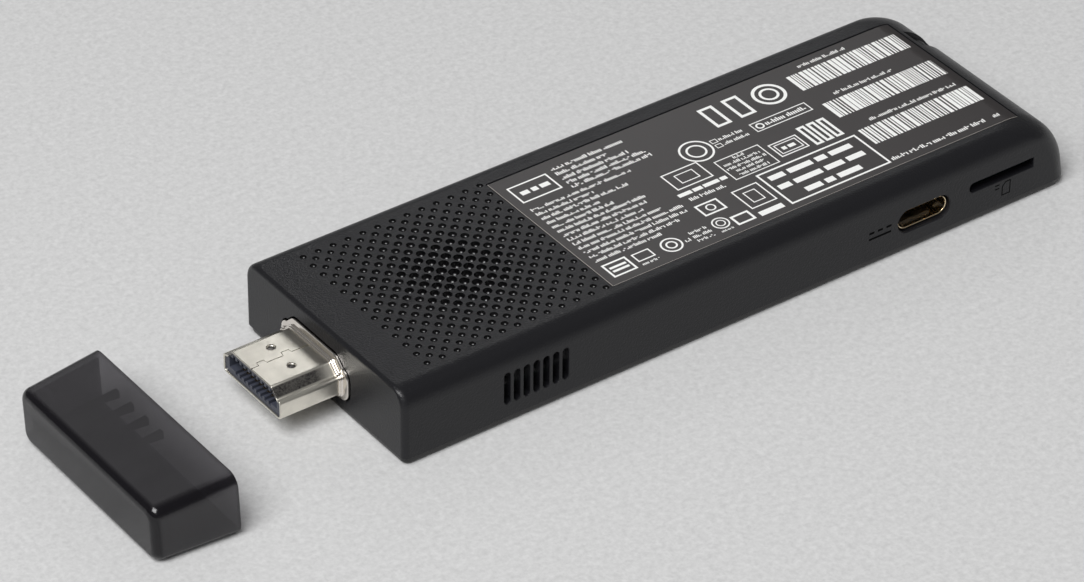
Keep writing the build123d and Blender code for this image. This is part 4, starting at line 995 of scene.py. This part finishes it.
def moulded(name, colour, rough=0.45, grain=4200.0, depth=0.012, tone=0.18, coat=0.0, specular=0.4):
    """Moulded plastic: fine spark-eroded grain, faint clouding and uneven gloss."""
    look = Surface(name)
    clouds = look.noise(60.0, 4.0)
    fine = look.noise(grain, 2.0, 0.6)
    dust = look.noise(900.0, 3.0).step(0.72, 0.8)
    dark = [c * (1 - tone) for c in colour]
    light = [c * (1 + tone) for c in colour]
    base = look.blend(clouds * 0.6 + fine * 0.4, dark, light)
    base = look.blend(dust * 0.12, base, [min(1.0, c * 2 + 0.02) for c in colour])
    gloss = (clouds * 0.5 + fine * 0.5).spread(rough - 0.05, rough + 0.06)
    normal = look.bump(fine, depth)
    shader = look.principled(Base_Color=base, Roughness=gloss, Normal=normal, Coat_Weight=coat,
                             Specular_IOR_Level=specular)
    return look.finish(shader)


def metal(name, colour, rough=0.25, brushed=(1.0, 1.0, 1.0), painted_reflection=None):
    """Metal: rolling lines along one direction, faint stains and uneven polish. A function that gives a
    share at each place adds a painted dark reflection there, broken into specks."""
    look = Surface(name)
    stretched = look.node("Mapping", "Vector", {"Vector": look.place, "Scale": brushed})
    lines = look.node("TexNoise", "Fac", {"Vector": stretched, "Scale": 2600.0, "Detail": 3.0,
                                          "Roughness": 0.6})
    stains = look.noise(420.0, 4.0)
    base = look.blend(stains.step(0.35, 0.75), colour, [c * 0.86 for c in colour])
    if painted_reflection:
        # Painted dark reflection: near-black specks mixed into the colour where the share is high.
        pits = (look.noise(3400.0, 3.0) * 0.7 + stains * 0.3).step(0.36, 0.6)
        base = look.blend(painted_reflection(look) * pits.spread(0.99, 0.72), base, (0.07, 0.065, 0.07))
    gloss = (lines * 0.5 + stains * 0.5).spread(rough - 0.07, rough + 0.1)
    normal = look.bump(lines, 0.003)
    shader = look.principled(Base_Color=base, Metallic=1.0, Roughness=gloss, Normal=normal)
    return look.finish(shader)


# Bounds of the plug's slanted flanks, which get a painted dark reflection.
FLANK_LOW = (PLUG_Z + 0.95, PLUG_Z + 1.05)
FLANK_HIGH = (PLUG_Z + 2.0, PLUG_Z + 2.12)
FLANK_END = (along(-1.8), along(-3.6))


def plug_flanks(look):
    """Share that is 1 on the plug's slanted flanks and fades out towards the collar: where the plug's
    metal gets a painted dark reflection.
    """
    x, z = (look.node("SeparateXYZ", axis, {"Vector": look.place}) / MM for axis in "XZ")
    return (z.step(*FLANK_LOW) - z.step(*FLANK_HIGH)) * x.step(*FLANK_END)


def smoky(name, dark, light, cover):
    """Smoky clear plastic: a dark gloss skin over a tinted see-through body, with painted shade that makes
    its rounds black and nearly opaque.
    """
    look = Surface(name)
    clouds = look.noise(120.0, 3.0)
    bend = look.node("Attribute", "Fac", attribute_name="bend").step(0.15, 0.9)
    base = look.blend(clouds, dark, light)
    # Painted shade: the rounds go near-black.
    base = look.blend(bend, base, srgb(9, 7, 12))
    gloss = clouds.spread(0.12, 0.2)
    normal = look.bump(look.noise(2500.0, 2.0), 0.003)
    skin = look.principled(Base_Color=base, Roughness=gloss, Normal=normal, Specular_IOR_Level=0.45)
    clear = look.node("BsdfTransparent", 0, {"Color": (0.64, 0.63, 0.65, 1.0)})
    inner = look.node("Attribute", "Fac", attribute_name="inner")
    share = clouds.spread(cover - 0.04, cover + 0.04) * (1.0 - inner * 0.85)
    # Painted shade: the rounds are made nearly opaque, so that their black shows.
    share = share.maths("MAXIMUM", bend * 0.97)
    return look.finish(look.node("MixShader", 0, {0: share, 1: clear, 2: skin}))


def ink_and_highlight(name, colour, specular=0.3):
    """Screen print, and the painted highlights drawn like it: slightly uneven, with tiny pinholes."""
    look = Surface(name)
    patches = look.noise(2200.0, 3.0)
    holes = look.noise(9000.0, 2.0).step(0.66, 0.74)
    base = look.blend(patches, [c * 0.86 for c in colour], colour)
    base = look.blend(holes * 0.35, base, [c * 0.5 for c in colour])
    gloss = patches.spread(0.4, 0.55)
    shader = look.principled(Base_Color=base, Roughness=gloss, Normal=look.bump(patches, 0.003),
                             Specular_IOR_Level=specular)
    return look.finish(shader)


def film(name):
    """Satin label film: warm dark grey with fine print screen and soft waves."""
    look = Surface(name)
    waves = look.noise(45.0, 2.0)
    fine = look.noise(5200.0, 2.0)
    base = look.blend(waves * 0.5 + fine * 0.5, srgb(36, 33, 33), srgb(49, 45, 45))
    normal = look.bump(waves * 0.7 + fine * 0.3, 0.006)
    shader = look.principled(Base_Color=base, Roughness=fine.spread(0.28, 0.38), Normal=normal,
                             Specular_IOR_Level=0.36)
    return look.finish(shader)


def paper(name):
    """Pale backdrop sheet: soft mottling and fine fibres."""
    look = Surface(name)
    mottle = look.noise(800.0, 4.0, 0.65)
    fibre = look.noise(1500.0, 3.0)
    tone = (mottle * 0.5 + fibre * 0.5).step(0.36, 0.64)
    base = look.blend(tone, srgb(193, 193, 193), srgb(209, 209, 209))
    shader = look.principled(Base_Color=base, Roughness=0.9, Normal=look.bump(fibre, 0.03),
                             Specular_IOR_Level=0.1)
    return look.finish(shader)


def board(name):
    """Circuit board: solder mask with traces and tinned dots."""
    look = Surface(name)
    traces = look.node("TexBrick", "Fac", {"Vector": look.place, "Scale": 420.0, "Mortar Size": 0.03})
    dots = look.cells(620.0).step(0.14, 0.2)
    clouds = look.noise(90.0)
    base = look.blend(traces * 0.5 + clouds * 0.2, srgb(16, 58, 44), srgb(34, 92, 68))
    base = look.blend(dots, srgb(178, 172, 150), base)
    shader = look.principled(Base_Color=base, Roughness=clouds.spread(0.3, 0.42),
                             Normal=look.bump(traces, 0.02))
    return look.finish(shader)


FINISHES = {
    "shell_plastic": moulded("shell_plastic", srgb(22, 22, 25), 0.34, 3700.0, 0.06, specular=0.36),
    "cover_plastic": moulded("cover_plastic", srgb(20, 20, 21), 0.2, depth=0.004, coat=0.3),
    "label_film": film("label_film"),
    "smoky_plastic": smoky("smoky_plastic", srgb(53, 52, 54), srgb(62, 61, 63), 0.74),
    "plug_metal": metal("plug_metal", (0.88, 0.845, 0.755), 0.3, (0.08, 1.0, 1.0), plug_flanks),
    "steel": metal("steel", (0.62, 0.61, 0.6), 0.3, (1.0, 0.1, 1.0)),
    "gold": metal("gold", (0.82, 0.6, 0.27), 0.28),
    "insulator": moulded("insulator", srgb(64, 67, 78), 0.35),
    "button_plastic": moulded("button_plastic", srgb(24, 24, 25), 0.35),
    "clear_plastic": moulded("clear_plastic", srgb(190, 196, 200), 0.15, coat=0.5),
    "board": board("board"),
    "chip_epoxy": moulded("chip_epoxy", srgb(30, 30, 32), 0.5),
    "silicon": moulded("silicon", srgb(60, 62, 74), 0.12, coat=0.6),
    "pad": moulded("pad", srgb(112, 118, 140), 0.7),
    "copper": metal("copper", (0.7, 0.36, 0.22), 0.3, (0.1, 1.0, 1.0)),
    "fin_metal": metal("fin_metal", (0.68, 0.69, 0.7), 0.35),
    "fan_plastic": moulded("fan_plastic", srgb(20, 20, 21), 0.4),
    "sleeve_bronze": metal("sleeve_bronze", (0.5, 0.36, 0.18), 0.4),
    "core_steel": metal("core_steel", (0.35, 0.35, 0.37), 0.4),
    "white_plastic": moulded("white_plastic", srgb(205, 202, 190), 0.45),
    "lead_jacket": moulded("lead_jacket", srgb(24, 24, 26), 0.5),
    "passive_ceramic": moulded("passive_ceramic", srgb(128, 104, 74), 0.55),
    "ferrite": moulded("ferrite", srgb(64, 64, 66), 0.6),
    "can_metal": metal("can_metal", (0.66, 0.66, 0.65), 0.32),
    "antenna_film": metal("antenna_film", (0.6, 0.48, 0.28), 0.35),
}
SOCKET_GOLD = metal("socket_gold", (0.92, 0.76, 0.52), 0.14)
COLLAR_METAL = metal("collar_metal", (0.88, 0.83, 0.77), 0.13)
# Darker copy of the cap's smoky plastic: painted shade that shows the ribs as dark streaks through the
# roof.
RIB_SHADE_PLASTIC = smoky("smoky_ribs_painted_shade", srgb(16, 15, 18), srgb(24, 22, 26), 0.85)
# Glossier copy of the shell plastic for the bowls; its near-black colour, darker than the shell's, is
# painted shade in the hollows.
POLISHED_AND_SHADED = moulded("polished_plastic_painted_shade", srgb(7, 7, 8), 0.26, depth=0.002, specular=0.5)


def paint_nodes():
    """Every CAD node gets the finish of its slot."""
    for part in frame["record"]["subparts"]:
        for slot in frame["nodes"][part["node"]].material_slots:
            slot.material = FINISHES[part["material_slot"]]


# Camera, lights and pieces

CAMERA_ANGLES = (-36.243, 35.992, 0.54)
CAMERA_TARGET = (along(38.389), 2.767, 0.0)
CAMERA_DISTANCE = 711.177
CAMERA_FOCUS_PIXELS = 5141.143
CAMERA_SHIFT_PIXELS = -1.2
CLIP_START = 0.01
PHOTO_WIDTH = 1084
SENSOR = 36.0
FLOOR_HALF = 4000
FLOOR_DROP = 0.02
WORLD_STRENGTH = 0.18
# Lights as (place, size, power), in metres and watts.
LIGHTS = {
    "key": ((-0.93, -0.48, 1.425), (1.05, 1.05), 36.0),
    "back": ((0.428, 0.606, 0.521), (0.2, 0.18), 0.33),
}


def area_light(name, place, size, power):
    """Soft rectangular light that looks at the origin; its place is in metres."""
    data = bpy.data.lights.new(name, "AREA")
    data.shape = "RECTANGLE"
    data.size, data.size_y = size
    data.energy = power
    obj = bpy.data.objects.new(name, data)
    obj.location = place
    obj.rotation_euler = (-Vector(place)).to_track_quat("-Z", "Y").to_euler()
    bpy.context.scene.collection.objects.link(obj)


def make_camera():
    """Camera of the photograph, from a fit to the housing's edges and the plug."""
    azimuth, elevation, roll = (math.radians(angle) for angle in CAMERA_ANGLES)
    back = Vector((math.sin(azimuth) * math.cos(elevation), -math.cos(azimuth) * math.cos(elevation),
                   math.sin(elevation)))
    right = Vector((math.cos(azimuth), math.sin(azimuth), 0.0))
    up = back.cross(right)
    turned_right = right * math.cos(roll) + up * math.sin(roll)
    turned_up = up * math.cos(roll) - right * math.sin(roll)
    place = (Vector(CAMERA_TARGET) + back * CAMERA_DISTANCE) * MM
    data = bpy.data.cameras.new("photo_camera")
    data.sensor_width = SENSOR
    data.lens = CAMERA_FOCUS_PIXELS / PHOTO_WIDTH * SENSOR
    data.shift_x = CAMERA_SHIFT_PIXELS / PHOTO_WIDTH
    data.clip_start = CLIP_START
    obj = bpy.data.objects.new("photo_camera", data)
    matrix = Matrix((turned_right, turned_up, back)).transposed().to_4x4()
    matrix.translation = place
    obj.matrix_world = matrix
    bpy.context.scene.collection.objects.link(obj)
    bpy.context.scene.camera = obj


def make_stage():
    """Pale floor, a large soft light from the upper left and a small one behind."""
    corners = rectangle(-FLOOR_HALF, FLOOR_HALF, -FLOOR_HALF, FLOOR_HALF)
    floor = make_object("floor", [(x, y, 0) for x, y in corners], [(0, 1, 2, 3)])
    floor.location.z = -FLOOR_DROP * MM
    floor.data.materials.append(paper("paper"))
    for name, sizes in LIGHTS.items():
        area_light(name, *sizes)
    world = bpy.data.worlds.new("studio")
    world.use_nodes = True
    background = world.node_tree.nodes["Background"]
    background.inputs["Color"].default_value = (1.0, 1.0, 1.0, 1.0)
    background.inputs["Strength"].default_value = WORLD_STRENGTH
    bpy.context.scene.world = world
    bpy.context.scene.view_settings.view_transform = "Standard"


make_camera()
make_stage()
paint_nodes()
dress(make_housing(), FINISHES["shell_plastic"], "shell_plastic", "housing", "label_shell")
dress(make_label(), FINISHES["label_film"], "label_film", "housing", "rating_label")
dress(make_print(), ink_and_highlight("white_ink", srgb(247, 247, 245)), "label_film", "housing")
# Painted highlights along the label's near edges.
dress(label_edges(), ink_and_highlight("painted_edge_highlight", srgb(176, 172, 166)), "label_film", "housing")
dress(side_print(), ink_and_highlight("dark_ink", srgb(4, 4, 5), 0.02), "shell_plastic", "housing")
dress(make_plug(), FINISHES["plug_metal"], "plug_metal", "housing", "hdmi_shell")
dress(make_collar(), COLLAR_METAL, "plug_metal", "housing", "hdmi_bezel")
dress(make_insert(), FINISHES["insulator"], "insulator", "housing", "hdmi_insulator")
dress(make_power_socket(), SOCKET_GOLD, "steel", "housing", "usb_c_shell")
dress(make_cap(), FINISHES["smoky_plastic"], "smoky_plastic", "cap", "plug_cap")
dress(make_cap_ribs(), RIB_SHADE_PLASTIC, "smoky_plastic", "cap")
